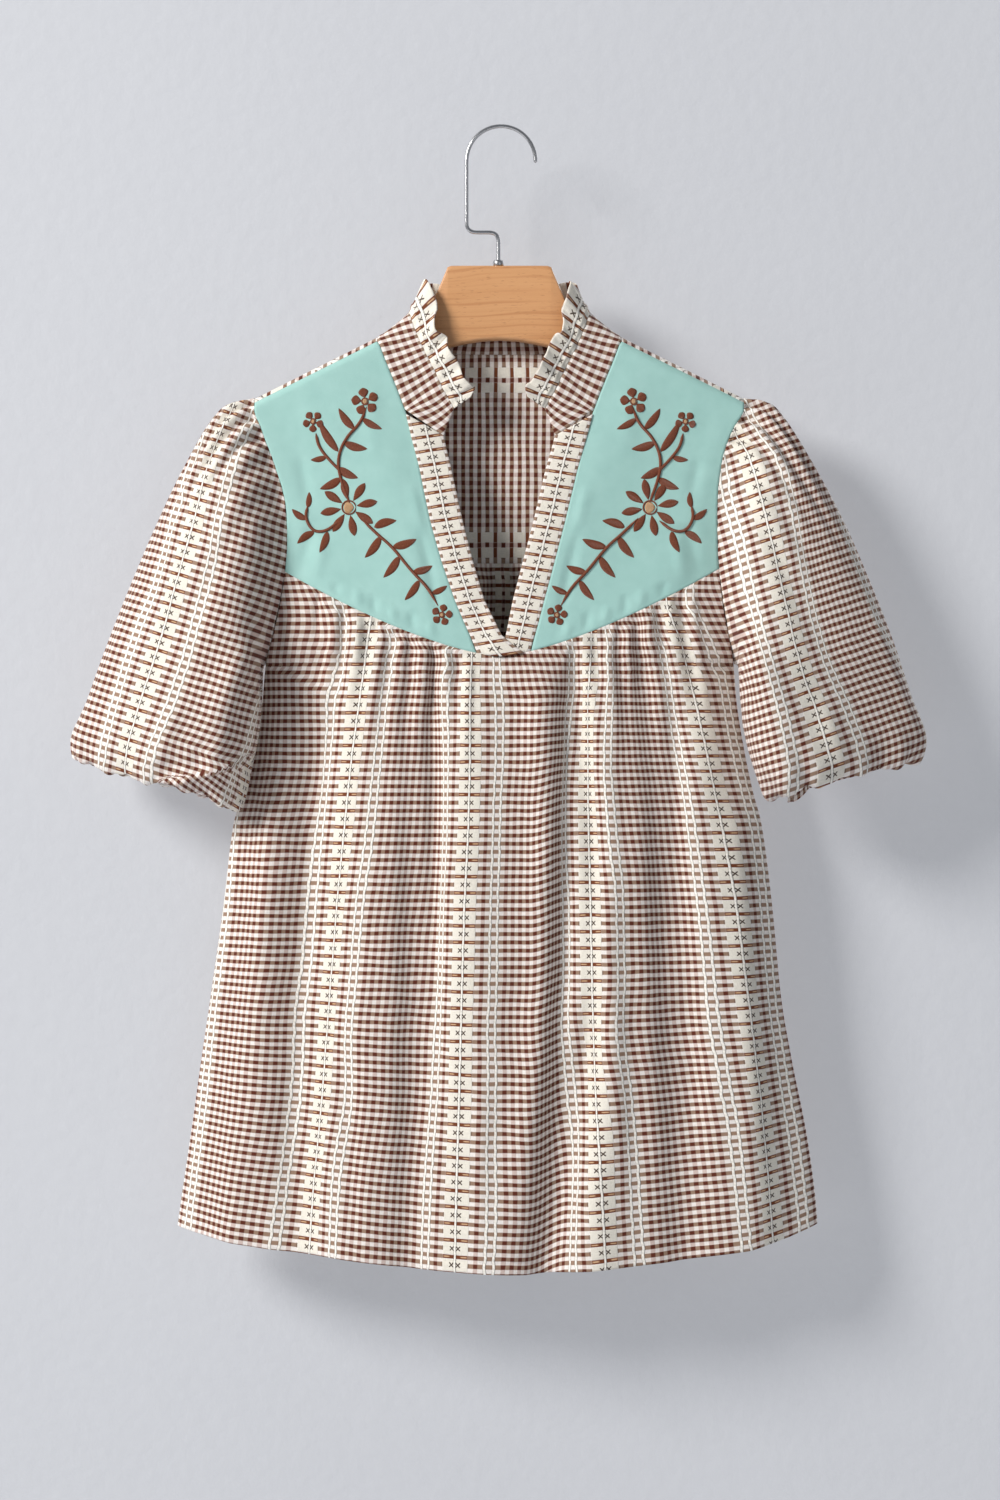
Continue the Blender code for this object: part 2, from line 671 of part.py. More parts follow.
CAP_FOLDS = table(
    "turn width height reach",
    (-0.62, 0.13, 3.0, 0.36),
    (-0.34, 0.11, 3.4, 0.36),
    (-0.10, 0.10, 3.6, 0.34),
    (0.14, 0.10, 4.0, 0.40),
    (0.36, 0.10, 4.4, 0.46),
    (0.58, 0.10, 4.6, 0.52),
    (0.80, 0.10, 4.2, 0.46),
    (1.04, 0.12, 3.6, 0.50),
    (1.34, 0.14, 2.8, 0.40),
)


def sleeve_point(side, turn, t):
    """Sleeve with the gathers of its cap and lower edge and a few long folds."""
    step = 0.004
    base = sleeve_base(side, turn, t)
    across = sleeve_base(side, turn + step, t) - sleeve_base(side, turn - step, t)
    down = sleeve_base(side, turn, np.clip(t + step, 0, 1)) - sleeve_base(side, turn, np.clip(t - step, 0, 1))
    out = np.cross(across, down) * -side
    out = out / np.linalg.norm(out, axis=-1, keepdims=True)
    wrapped = (turn + math.pi) % (2 * math.pi) - math.pi
    height = np.zeros(np.broadcast(turn, t).shape)
    for i in range(len(CAP_FOLDS["turn"])):
        near = np.exp(-(((wrapped - CAP_FOLDS["turn"][i]) / (CAP_FOLDS["width"][i] * 0.72)) ** 2))
        fade = smooth(t / 0.05) * (1 - smooth(t / CAP_FOLDS["reach"][i]))
        height = height + CAP_FOLDS["height"][i] * near * fade
    cuff = smooth((t - 0.70) / 0.2) * (1 - smooth((t - 0.93) / 0.07))
    height = height + 1.8 * cuff * np.sin(12 * turn + 0.8 * side)
    long_folds = smooth(t / 0.3) * (1 - smooth((t - 0.75) / 0.25))
    height = height + 2.6 * long_folds * np.sin(3 * turn + 2.4 + 0.9 * side)
    return base + out * height[..., None]


def cuff_point(side, turn, t):
    """Elastic cuff and its frill, from the sleeve's lower seam down inside the puff."""
    ring = sleeve_base(side, turn, 1.0)
    middle = sleeve_base(side, np.array([0.0, math.pi]), 1.0).mean(axis=0)
    rows = LEFT_SLEEVE if side < 0 else RIGHT_SLEEVE
    run_x = (rows["out_x"][-1] - rows["in_x"][-1]) * -side
    run_z = rows["out_z"][-1] - rows["in_z"][-1]
    length = math.hypot(run_x, run_z)
    axis = np.array([run_z / length * -side, 0.0, run_x / length * side])
    if axis[2] > 0:
        axis = -axis
    spread = ring - middle
    size = np.linalg.norm(spread, axis=-1, keepdims=True)
    t = np.asarray(t, float)
    wave = smooth((t - 0.35) / 0.65) * 1.9 * np.sin(CUFF_WAVES * turn)
    inward = -2.5 - 1.6 * np.sin(math.pi * np.clip(t, 0, 1)) + 2.0 * t
    return ring + axis * (24.0 * t - 3.0)[..., None] + spread / size * (wave + inward)[..., None]


def unit(vector):
    return vector / np.maximum(np.linalg.norm(vector, axis=-1, keepdims=True), 1e-12)


def wall_grid(surface, u, v, wall, closed):
    """Outer and inner points of a wall over a surface, its normals taken from the surface."""
    grid_v, grid_u = np.meshgrid(v, u, indexing="ij")
    step_u = 5e-5 * (u[-1] - u[0])
    step_v = 5e-5 * (v[-1] - v[0])
    if closed:
        du = surface(grid_u + step_u, grid_v) - surface(grid_u - step_u, grid_v)
    else:
        du = surface(np.minimum(grid_u + step_u, u[-1]), grid_v) - surface(np.maximum(grid_u - step_u, u[0]), grid_v)
    dv = surface(grid_u, np.minimum(grid_v + step_v, v[-1])) - surface(grid_u, np.maximum(grid_v - step_v, v[0]))
    normal = unit(np.cross(du, dv))
    middle = surface(grid_u, grid_v)
    return middle + normal * wall / 2, middle - normal * wall / 2


def add_mesh(name, points, faces, material):
    mesh = bpy.data.meshes.new(name)
    mesh.from_pydata([tuple(p) for p in points * MM], [], faces)
    work = bmesh.new()
    work.from_mesh(mesh)
    bmesh.ops.triangulate(work, faces=work.faces[:])
    bmesh.ops.recalc_face_normals(work, faces=work.faces[:])
    if work.calc_volume(signed=True) < 0:
        bmesh.ops.reverse_faces(work, faces=work.faces[:])
    work.to_mesh(mesh)
    work.free()
    mesh.validate()
    item = bpy.data.objects.new(name, mesh)
    bpy.context.scene.collection.objects.link(item)
    mesh.materials.append(material)
    return item


def shell(name, surface, u, v, wall, material, closed=False):
    """A wall of even thickness over a surface, closed to a ring where asked."""
    u = np.asarray(u, float)
    v = np.asarray(v, float)
    outer, inner = wall_grid(surface, u, v, wall, closed)
    rows, columns = outer.shape[:2]
    if closed:
        columns -= 1
        outer = outer[:, :columns]
        inner = inner[:, :columns]
    points = np.concatenate([outer.reshape(-1, 3), inner.reshape(-1, 3)])
    count = rows * columns

    def number(layer, row, column):
        return layer * count + row * columns + column % columns

    faces = []
    span = columns if closed else columns - 1
    for row in range(rows - 1):
        for column in range(span):
            a = number(0, row, column)
            b = number(0, row, column + 1)
            c = number(0, row + 1, column + 1)
            d = number(0, row + 1, column)
            faces.append((a, b, c, d))
            faces.append((a + count, d + count, c + count, b + count))
    for row in (0, rows - 1):
        for column in range(span):
            a = number(0, row, column)
            b = number(0, row, column + 1)
            faces.append((a, a + count, b + count, b) if row == 0 else (a, b, b + count, a + count))
    if not closed:
        for column in (0, columns - 1):
            for row in range(rows - 1):
                a = number(0, row, column)
                b = number(0, row + 1, column)
                faces.append((a, b, b + count, a + count) if column == 0 else (a, a + count, b + count, b))
    return add_mesh(name, points, faces, material)


def tube(name, rings, material):
    """A solid through rings of equal length, closed at both ends by fans."""
    rings = np.asarray(rings, float)
    rows, columns = rings.shape[:2]
    points = [*rings.reshape(-1, 3), rings[0].mean(axis=0), rings[-1].mean(axis=0)]
    faces = []
    for row in range(rows - 1):
        for column in range(columns):
            a = row * columns + column
            b = row * columns + (column + 1) % columns
            faces.append((a, b, b + columns, a + columns))
    last = (rows - 1) * columns
    for column in range(columns):
        after = (column + 1) % columns
        faces.append((rows * columns, after, column))
        faces.append((rows * columns + 1, last + column, last + after))
    return add_mesh(name, np.array(points), faces, material)


def wood_rings():
    """Sections of the hanger's wood from end to end, each a bar with rounded edges."""
    half = len(WOOD["x"])
    order = [-i for i in range(half - 1, 0, -1)] + list(range(half))
    rings = []
    for i in order:
        x = math.copysign(WOOD["x"][abs(i)], i) if i else 0.0
        top = WOOD["top"][abs(i)]
        low = WOOD["low"][abs(i)]
        thin = HANGER_HALF * (0.55 if abs(i) == half - 1 else 0.85 if abs(i) == half - 2 else 1.0)
        bevel = 2.6 * thin / HANGER_HALF
        corner = [(thin - bevel, 0.0), (thin - 0.3 * bevel, 0.3 * bevel), (thin, bevel)]
        ring = [(x, y, top - dz) for y, dz in corner]
        ring += [(x, y, low + dz) for y, dz in corner[::-1]]
        ring += [(x, -y, low + dz) for y, dz in corner]
        ring += [(x, -y, top - dz) for y, dz in corner[::-1]]
        rings.append(ring)
    return rings


def wire_rings(sides):
    """Rings of the hook's wire along its middle line."""
    line = list(zip(HOOK["x"], HOOK["z"]))
    for angle in np.linspace(math.pi, math.radians(-4), 17):
        line.append((HOOK_CENTRE_X + HOOK_RADIUS * math.cos(angle), HOOK_RADIUS * math.sin(angle) - HOOK_RADIUS + WIRE))
    line = np.array(line)
    rings = []
    for i, (x, z) in enumerate(line):
        before = line[max(i - 1, 0)]
        after = line[min(i + 1, len(line) - 1)]
        run = (after - before) / np.linalg.norm(after - before)
        size = WIRE if i < len(line) - 1 else WIRE * 0.55
        ring = []
        for k in range(sides):
            angle = 2 * math.pi * (k + 0.5) / sides
            away = size * math.cos(angle)
            ring.append((x - run[1] * away, size * math.sin(angle), z + run[0] * away))
        rings.append(ring)
    return rings


def nut_rings(sides):
    rings = []
    for z, radius in ((-100.5, 3.6), (-101.1, 4.2), (-103.5, 4.2), (-104.1, 3.9)):
        ring = []
        for k in range(sides):
            angle = 2 * math.pi * k / sides
            ring.append((-0.8 + radius * math.cos(angle), radius * math.sin(angle), z))
        rings.append(ring)
    return rings


def make_material(name, colour, roughness, metallic=0.0):
    material = bpy.data.materials.new(name)
    material.use_nodes = True
    shader = material.node_tree.nodes["Principled BSDF"]
    shader.inputs["Base Color"].default_value = (*colour, 1.0)
    shader.inputs["Roughness"].default_value = roughness
    shader.inputs["Metallic"].default_value = metallic
    return material


def even_shares(curve, count, power=1.0):
    """Positions from 0 to 1 that split a curve in steps of even length."""
    fine = np.linspace(0, 1, 2001)
    line = curve(fine)
    steps = np.linalg.norm(np.diff(line, axis=0), axis=1)
    total = np.concatenate([[0.0], np.cumsum(steps)])
    return np.interp(np.linspace(0, 1, count) ** power, total / total[-1], fine)


def body_columns(gathers, step_gather, step_plain, edge_columns):
    """Columns of a body panel, close together in the gathers and at the side seams."""
    marks = [-0.965]
    top = 162.0
    zones = []
    for i in range(len(gathers["start"])):
        zones.append((gathers["start"][i] / top, gathers["end"][i] / top, step_gather / top))
    here = -0.965
    for start, end, step in zones:
        count = max(1, round((start - here) / (step_plain / top)))
        marks += list(np.linspace(here, start, count + 1)[1:])
        count = max(1, round((end - start) / step))
        marks += list(np.linspace(start, end, count + 1)[1:])
        here = end
    count = max(1, round((0.965 - here) / (step_plain / top)))
    marks += list(np.linspace(here, 0.965, count + 1)[1:])
    edge = 1 - 0.035 * (np.arange(edge_columns, 0, -1) - 1) ** 2 / edge_columns**2
    return np.array([*(-edge[::-1]), *marks, *edge])


YOKE_ROWS = np.array([0, 0.05, 0.10, 0.15, 0.20, 0.25, 0.30, 0.38, 0.46, 0.58, 0.70, 0.82, 0.93, 1.0])
YOKE_OVER = np.array([0, 0.025, 0.052, 0.08, 0.115, 0.18, 0.32, 0.48, 0.65, 0.82, 1.0])
UNDERARM_SHARE = (336.3 - 406.0) / (336.3 - 829.0)
BACK_UNDERARM_SHARE = (328.15 - 406.0) / (328.15 - 829.0)
FRONT_ROWS = np.array([0, 0.016, 0.05, 0.095, UNDERARM_SHARE, 0.21, 0.31, 0.45, 0.62, 0.81, 1.0])
BACK_ROWS = np.array([0, 0.018, 0.055, 0.105, BACK_UNDERARM_SHARE, 0.26, 0.44, 0.70, 1.0])
CUFF_WAVES = 12
LOOPS = {side: armhole_loop(side) for side in (-1, 1)}


def build():
    for item in list(bpy.data.objects):
        bpy.data.objects.remove(item, do_unlink=True)
    check = {
        name: make_material(name, (0.47, 0.36, 0.31), 0.85)
        for name in (
            "check_front",
            "check_back",
            "check_yoke",
            "check_collar",
            "check_ruffle",
            "check_band_left",
            "check_band_right",
            "check_sleeve_left",
            "check_sleeve_right",
            "check_cuff_left",
            "check_cuff_right",
        )
    }
    mint_left = make_material("mint_left", (0.40, 0.62, 0.59), 0.7)
    mint_right = make_material("mint_right", (0.40, 0.62, 0.59), 0.7)
    wood = make_material("beech", (0.64, 0.36, 0.16), 0.45)
    steel = make_material("wire_steel", (0.72, 0.72, 0.72), 0.25, 1.0)
    nut = make_material("nut_steel", (0.70, 0.70, 0.70), 0.3, 1.0)

    tube("hanger_wood", wood_rings(), wood)
    tube("hanger_hook", wire_rings(8), steel)
    tube("hanger_nut", nut_rings(12), nut)

    front_columns = body_columns(FRONT_GATHERS, 4.2, 11.0, 4)
    shell("front_body", front_body_point, front_columns, FRONT_ROWS, WALL, check["check_front"])
    back_columns = body_columns(BACK_GATHERS, 4.8, 13.0, 4)
    shell("back_body", back_body_point, back_columns, BACK_ROWS, WALL, check["check_back"])

    yoke_columns = np.linspace(0, 1, 10)
    for side, name, material in ((-1, "left", mint_left), (1, "right", mint_right)):
        shell("front_yoke_" + name, lambda s, t, side=side: yoke_point(side, s, t), yoke_columns, YOKE_ROWS, WALL, material)
        band_rows = np.linspace(0, 1, 11)
        shell(
            "neck_band_" + name,
            lambda s, t, side=side: band_point(side, s, t),
            np.linspace(0, 1, 4),
            band_rows,
            BAND_WALL,
            check["check_band_" + name],
        )
        turns = sleeve_columns(side)
        rows = np.array([0, 0.03, 0.075, 0.14, 0.23, 0.36, 0.54, 0.71, 0.81, 0.88, 0.94, 1.0])
        shell("sleeve_" + name, lambda a, t, side=side: sleeve_point(side, a, t), turns, rows, WALL, check["check_sleeve_" + name], True)
        shell(
            "cuff_" + name,
            lambda a, t, side=side: cuff_point(side, a, t),
            np.linspace(0, 2 * math.pi, 4 * CUFF_WAVES + 1),
            np.array([0, 0.4, 1.0]),
            WALL,
            check["check_cuff_" + name],
            True,
        )

    columns = back_yoke_columns()
    shell("back_yoke", back_yoke_point, columns, YOKE_OVER, WALL, check["check_yoke"])

    stand_columns = np.array([k / 17 for k in range(18)])
    stand_columns = np.concatenate([-1 + stand_columns[:-1], stand_columns])
    shell("collar_stand", stand_point, stand_columns, np.array([0, 0.5, 1.0]), WALL, check["check_collar"])
    shares = np.linspace(0, 1, 4 * RUFFLE_WAVES + 1)
    ruffle_columns = np.interp(shares, ROUND["share"], ROUND["u"])
    shell("collar_ruffle", ruffle_point, ruffle_columns, np.array([0, 0.5, 1.0]), WALL, check["check_ruffle"])


def sleeve_columns(side):
    """Turns round the sleeve at the armhole's corners, with more between the far ones."""
    marks = LOOPS[side][0]
    turns = [marks[0]]
    for mark in marks[1:]:
        gap = mark - turns[-1]
        if gap < 0.02:
            if mark == marks[-1]:
                turns[-1] = mark
            continue
        count = max(1, round(gap / 0.17))
        turns += list(np.linspace(turns[-1], mark, count + 1)[1:])
    return np.array(turns)


def back_yoke_columns():
    """Columns across the back yoke, one at each row of the neck seam."""
    neck = COLLAR["across"][8:]
    half = np.concatenate([np.linspace(SHOULDER_X, 104, 7), neck])
    return np.concatenate([-half, half[::-1][1:]]) / SHOULDER_X


build()
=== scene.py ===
"""Looks of the puff sleeve blouse and of the hanger that holds it.

Sizes in the tables and surface functions are millimetres, in the same frame as the solids: X to
the right as seen from the front, Z up, the front facing -Y, and the origin at the inner top of
the hanger's hook. Meshes are in metres.
"""

import math
from functools import partial

import bpy
import numpy as np
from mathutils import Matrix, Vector
from mathutils.bvhtree import BVHTree


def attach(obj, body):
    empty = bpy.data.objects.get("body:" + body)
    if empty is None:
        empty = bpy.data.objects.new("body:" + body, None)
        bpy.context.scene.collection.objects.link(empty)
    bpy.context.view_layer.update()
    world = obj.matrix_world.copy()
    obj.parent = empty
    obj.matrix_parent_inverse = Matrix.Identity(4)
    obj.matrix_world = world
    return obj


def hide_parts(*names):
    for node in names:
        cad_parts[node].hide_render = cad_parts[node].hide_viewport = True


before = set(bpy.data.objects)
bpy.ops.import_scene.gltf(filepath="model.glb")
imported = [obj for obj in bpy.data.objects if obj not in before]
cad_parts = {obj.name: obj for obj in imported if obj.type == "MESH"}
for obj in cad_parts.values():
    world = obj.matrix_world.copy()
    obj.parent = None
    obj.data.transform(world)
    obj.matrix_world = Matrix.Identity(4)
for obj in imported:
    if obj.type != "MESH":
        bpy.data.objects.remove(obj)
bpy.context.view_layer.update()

MM = 0.001
WALL = 1.2
BAND_WALL = 1.4
GAP = 0.3
HALF = GAP / 2

SHOULDER_X = 184.5
NECK_X = 92.3
SHOULDER_Z = -159.0
SHOULDER_SLOPE = 0.5
RIDGE = 9.0
SEAM_ARC = 8.2
UNDERARM_Z = -406.0
BACK_SEAM_Z = -328.0
BAND_TOP_Z = -229.6
BAND_LOW_Z = -399.6

HANGER_HALF = 6.5
WIRE = 1.55


def table(names, *rows):
    """Columns of numbers by name, from rows written in that order."""
    grid = np.array(rows, float)
    return {name: grid[:, i] for i, name in enumerate(names.split())}


def at(rows, key, name, value):
    """Straight interpolation of one column over a key column that may fall or rise."""
    keys = rows[key]
    if keys[0] > keys[-1]:
        return np.interp(-np.asarray(value, float), -keys, rows[name])
    return np.interp(value, keys, rows[name])


def soft(rows, key, name, value):
    """Smooth interpolation that keeps to the rows and never runs past them."""
    keys = rows[key]
    data = rows[name]
    value = np.asarray(value, float)
    if keys[0] > keys[-1]:
        keys = -keys
        value = -value
    step = np.diff(keys)
    slope = np.diff(data) / step
    inner = np.where(
        slope[:-1] * slope[1:] > 0,
        2 * slope[:-1] * slope[1:] / np.where(slope[:-1] + slope[1:] == 0, 1, slope[:-1] + slope[1:]),
        0.0,
    )
    tangent = np.concatenate([[slope[0]], inner, [slope[-1]]])
    value = np.clip(value, keys[0], keys[-1])
    i = np.clip(np.searchsorted(keys, value, side="right") - 1, 0, len(keys) - 2)
    h = step[i]
    f = (value - keys[i]) / h
    a = (1 + 2 * f) * (1 - f) ** 2 * data[i]
    b = f * (1 - f) ** 2 * h * tangent[i]
    c = f * f * (3 - 2 * f) * data[i + 1]
    d = f * f * (f - 1) * h * tangent[i + 1]
    return a + b + c + d


def smooth(value):
    """0 below 0, 1 above 1 and an even curve between."""
    value = np.clip(value, 0.0, 1.0)
    return value * value * (3 - 2 * value)


def unit(vector):
    return vector / np.maximum(np.linalg.norm(vector, axis=-1, keepdims=True), 1e-12)


def running(line):
    """Length along a line at each of its points, from 0."""
    return np.concatenate([[0.0], np.cumsum(np.linalg.norm(np.diff(line, axis=0), axis=1))])


def even_points(line, count):
    """count points spaced evenly along a flat line, and how far along it each one lies."""
    marks = running(line)
    places = np.linspace(0, marks[-1], count)
    return np.stack([np.interp(places, marks, line[:, i]) for i in range(2)], axis=1), places


def run_at(line, i):
    """Direction of a line at its point i."""
    return unit(line[min(i + 1, len(line) - 1)] - line[max(i - 1, 0)])


# Edges of the body, seen from the front: the armhole down to the underarm, then the side seam.
SIDES = table(
    "z left right",
    (-160, 184.5, 184.5),
    (-214, 184.3, 183.8),
    (-226, 180.0, 177.0),
    (-240, 174.8, 170.8),
    (-258, 168.3, 166.4),
    (-275, 162.8, 164.2),
    (-291, 160.0, 163.6),
    (-312, 159.4, 163.8),
    (-336, 161.0, 165.0),
    (-360, 164.6, 167.6),
    (-384, 170.2, 172.0),
    (-406, 176.0, 176.2),
    (-432, 178.6, 178.4),
    (-466, 184.2, 183.6),
    (-500, 192.4, 190.6),
    (-526, 200.4, 197.4),
    (-583, 207.4, 205.0),
    (-658, 217.9, 212.4),
    (-703, 224.6, 220.1),
    (-763, 233.0, 232.0),
    (-808, 239.7, 238.1),
    (-832, 243.0, 240.0),
)

# How far the front and the back stand from the middle plane, and the half width of the armhole.
DEPTHS = table(
    "z front back arm",
    (-110, 11.0, 14.0, 10.0),
    (-160, 11.0, 14.0, 10.0),
    (-205, 12.5, 13.5, 10.0),
    (-229, 14.5, 13.5, 11.0),
    (-260, 17.5, 14.5, 13.0),
    (-300, 21.0, 16.5, 14.5),
    (-350, 25.5, 19.5, 14.0),
    (-400, 29.5, 23.0, 13.0),
    (-500, 33.0, 27.0, 12.0),
    (-600, 36.0, 30.0, 12.0),
    (-700, 40.0, 33.0, 12.0),
    (-860, 46.0, 37.0, 12.0),
)

# Lower edge of the blouse.
HEM = table(
    "x z",
    (-243, -829.0),
    (-232, -831.8),
    (-202, -838.5),
    (-172, -843.0),
    (-127, -847.5),
    (-97, -851.0),
    (-60, -855.5),
    (-7, -858.5),
    (20, -859.5),
    (68, -856.5),
    (128, -851.0),
    (188, -843.5),
    (218, -835.5),
    (240, -827.5),
)

# How far the hem reaches from the middle line at either side.
HEM_LEFT = 243.0
HEM_RIGHT = 240.0

# Edges of the two neck bands, distances from the middle line, right side counted positive.
BANDS = table(
    "z left_out left_in right_out right_in",
    (-229.6, -65.6, -42.2, 65.6, 42.0),
    (-267.8, -58.2, -34.6, 56.6, 33.0),
    (-297.8, -52.0, -28.0, 49.4, 26.0),
    (-327.8, -43.6, -20.4, 41.6, 18.2),
    (-357.8, -33.4, -11.6, 33.6, 10.4),
    (-384.0, -22.4, 1.2, 26.8, 5.2),
    (-401.0, -16.1, 19.1, 22.6, 1.6),
)

# Neck seam from the band's corner over the shoulder to the middle of the back, with the edge
# of the stand above it and the free edge of the ruffle. "arc" counts from the shoulder's ridge,
# towards the front.
COLLAR = table(
    "at across arc edge_x edge_y edge_z free_x free_y free_z",
    (0.0, 42.2, 0.0, 34.2, -15.0, -213.0, 22.5, -18.0, -205.5),
    (1.0, 54.0, 0.0, 38.0, -15.2, -206.0, 23.6, -19.5, -198.0),
    (2.0, 65.6, 0.0, 42.4, -15.2, -198.5, 28.2, -20.5, -189.0),
    (3.0, 70.4, 0.0, 46.4, -15.0, -189.5, 34.4, -20.8, -178.5),
    (4.0, 75.2, 0.0, 51.0, -14.6, -180.0, 40.4, -20.4, -169.5),
    (5.0, 80.2, 0.0, 55.6, -14.2, -171.0, 45.2, -19.4, -160.0),
    (6.0, 85.4, 0.0, 60.2, -13.4, -161.5, 48.8, -17.8, -148.5),
    (7.0, 90.0, 0.0, 64.0, -11.6, -152.0, 51.2, -15.4, -137.0),
    (8.0, 92.3, 8.2, 66.4, -8.6, -145.2, 53.8, -11.6, -126.5),
    (9.0, 92.0, 4.0, 67.6, -4.2, -141.2, 56.4, -6.2, -120.4),
    (10.0, 91.0, 0.0, 67.8, 0.6, -139.6, 58.0, 0.0, -118.6),
    (11.0, 89.0, -4.6, 66.8, 5.4, -139.8, 58.0, 6.4, -118.6),
    (12.0, 86.0, -9.2, 64.4, 9.8, -140.6, 56.0, 11.8, -119.2),
    (13.0, 81.0, -14.4, 60.0, 13.0, -141.6, 53.0, 15.4, -120.2),
    (14.0, 70.0, -23.8, 52.0, 15.2, -142.6, 46.0, 18.4, -121.6),
    (15.0, 50.0, -35.8, 38.0, 17.0, -143.2, 34.0, 20.4, -122.6),
    (16.0, 25.0, -49.6, 19.0, 17.8, -143.5, 17.0, 21.4, -123.2),
    (17.0, 0.0, -62.2, 0.0, 18.2, -143.6, 0.0, 21.8, -123.4),
)

# Neck seam on the front, from the band's corner up to the shoulder.
NECK_SIDE = table(
    "z x",
    (-162.5, 92.3),
    (-166.2, 90.0),
    (-178.4, 85.4),
    (-191.0, 80.2),
    (-203.8, 75.2),
    (-216.6, 70.4),
    (-229.6, 65.6),
)

# Folds of the front: where each runs at the seam, half way and at the hem, its half width
# and how far it stands out there.
FRONT_FOLDS = table(
    "seam half hem width top middle low",
    (-133, -134, -146, 16, -3.0, -7.0, -5.0),
    (-100, -99, -108, 19, 2.0, 4.0, 5.0),
    (-70, -67, -66, 12, -2.0, -6.0, -5.0),
    (-48, -47, -40, 6, -1.5, -2.5, 0.0),
    (-16, -18, -16, 21, 2.0, 5.5, 5.0),
    (52, 48, 33, 10, -4.0, -10.0, -6.0),
    (74, 76, 74, 17, 2.0, 7.0, 6.0),
    (107, 122, 138, 13, -3.0, -7.0, -4.0),
    (140, 165, 182, 20, 1.0, 5.0, 6.0),
    (-158, -182, -204, 14, 1.0, 3.5, 4.5),
)

# Folds of the back, the same way.
BACK_FOLDS = table(
    "seam half hem width top middle low",
    (-104, -132, -158, 18, -2.0, -5.5, -6.0),
    (-66, -84, -98, 20, 2.0, 5.5, 6.0),
    (-26, -34, -44, 14, -2.5, -7.0, -6.0),
    (8, 10, 14, 22, 2.0, 6.5, 7.0),
    (46, 56, 68, 15, -2.5, -7.0, -6.0),
    (84, 104, 124, 20, 2.0, 5.0, 6.0),
    (124, 156, 182, 16, -1.5, -5.0, -5.0),
)

# Gathers below a seam: from where to where, how many, and how high.
FRONT_GATHERS = table("start end waves height", (-130, -14, 7, 2.0), (40, 152, 7, 2.0))
BACK_GATHERS = table("start end waves height", (-96, 96, 10, 2.0))

# Sleeve sections, left one: outer end, inner end, how far the inner end lies forward, how
# deep the section is to the front and the back, and how far it bows to the body.
LEFT_SLEEVE = table(
    "at out_x out_z in_x in_z in_y front back bow",
    (0.00, -196.0, -203.0, -180.0, -405.4, 0.0, 17.0, 15.0, 21.0),
    (0.06, -203.0, -205.5, -183.6, -408.0, 2.0, 24.0, 20.0, 20.5),
    (0.14, -217.9, -220.0, -184.6, -414.0, 7.0, 32.0, 25.0, 20.0),
    (0.24, -237.6, -252.0, -183.6, -424.0, 11.5, 39.0, 29.0, 17.5),
    (0.36, -259.0, -296.0, -181.8, -436.0, 15.0, 44.0, 33.0, 13.0),
    (0.48, -278.6, -342.0, -181.4, -448.0, 16.5, 47.0, 35.0, 8.0),
    (0.60, -296.8, -389.0, -183.6, -466.0, 17.0, 48.0, 36.0, 3.5),
    (0.71, -311.6, -429.0, -187.4, -484.0, 17.0, 47.0, 35.0, 1.0),
    (0.81, -323.8, -462.0, -191.8, -502.5, 16.5, 42.0, 32.0, 0.0),
    (0.88, -319.4, -476.0, -196.2, -513.5, 15.0, 34.0, 27.0, 0.0),
    (0.94, -309.0, -474.5, -203.0, -507.0, 11.0, 28.0, 23.0, 0.0),
    (1.00, -303.0, -465.0, -208.0, -495.0, 8.0, 24.0, 20.5, 0.0),
)

# The right one, mirrored to the same side.
RIGHT_SLEEVE = table(
    "at out_x out_z in_x in_z in_y front back bow",
    (0.00, -195.0, -203.0, -180.0, -405.4, 0.0, 17.0, 15.0, 16.0),
    (0.06, -201.5, -205.0, -183.4, -408.0, 2.0, 24.0, 20.0, 15.5),
    (0.14, -214.4, -219.0, -184.2, -414.0, 7.0, 32.0, 25.0, 15.5),
    (0.24, -234.4, -252.0, -183.4, -424.0, 11.5, 39.0, 29.0, 13.5),
    (0.36, -257.4, -296.0, -181.8, -436.0, 15.0, 44.0, 33.0, 10.5),
    (0.48, -277.0, -342.0, -181.8, -448.0, 16.5, 47.0, 35.0, 7.0),
    (0.60, -294.6, -389.0, -184.2, -464.0, 17.0, 48.0, 36.0, 3.0),
    (0.71, -308.0, -429.0, -188.4, -480.0, 17.0, 47.0, 35.0, 1.0),
    (0.81, -319.8, -462.0, -194.2, -495.0, 16.5, 42.0, 32.0, 0.0),
    (0.88, -314.6, -477.0, -200.4, -505.5, 15.0, 34.0, 27.0, 0.0),
    (0.94, -306.0, -475.5, -207.0, -501.0, 11.0, 28.0, 23.0, 0.0),
    (1.00, -300.0, -467.0, -212.0, -490.5, 8.0, 24.0, 20.5, 0.0),
)

# Upper and lower edges of the wooden hanger, half of it.
WOOD = table(
    "x top low",
    (0.0, -104.4, -160.4),
    (14.0, -104.4, -161.2),
    (28.0, -104.4, -163.6),
    (36.6, -104.5, -165.6),
    (39.2, -105.6, -166.4),
    (44.4, -118.0, -168.2),
    (49.0, -128.8, -170.2),
    (52.0, -134.4, -171.8),
    (70.0, -147.4, -180.8),
    (91.5, -160.9, -191.0),
    (120.0, -174.6, -204.6),
    (150.0, -189.6, -219.0),
    (168.0, -198.8, -228.0),
    (172.6, -202.8, -228.2),
    (175.0, -208.2, -225.2),
)

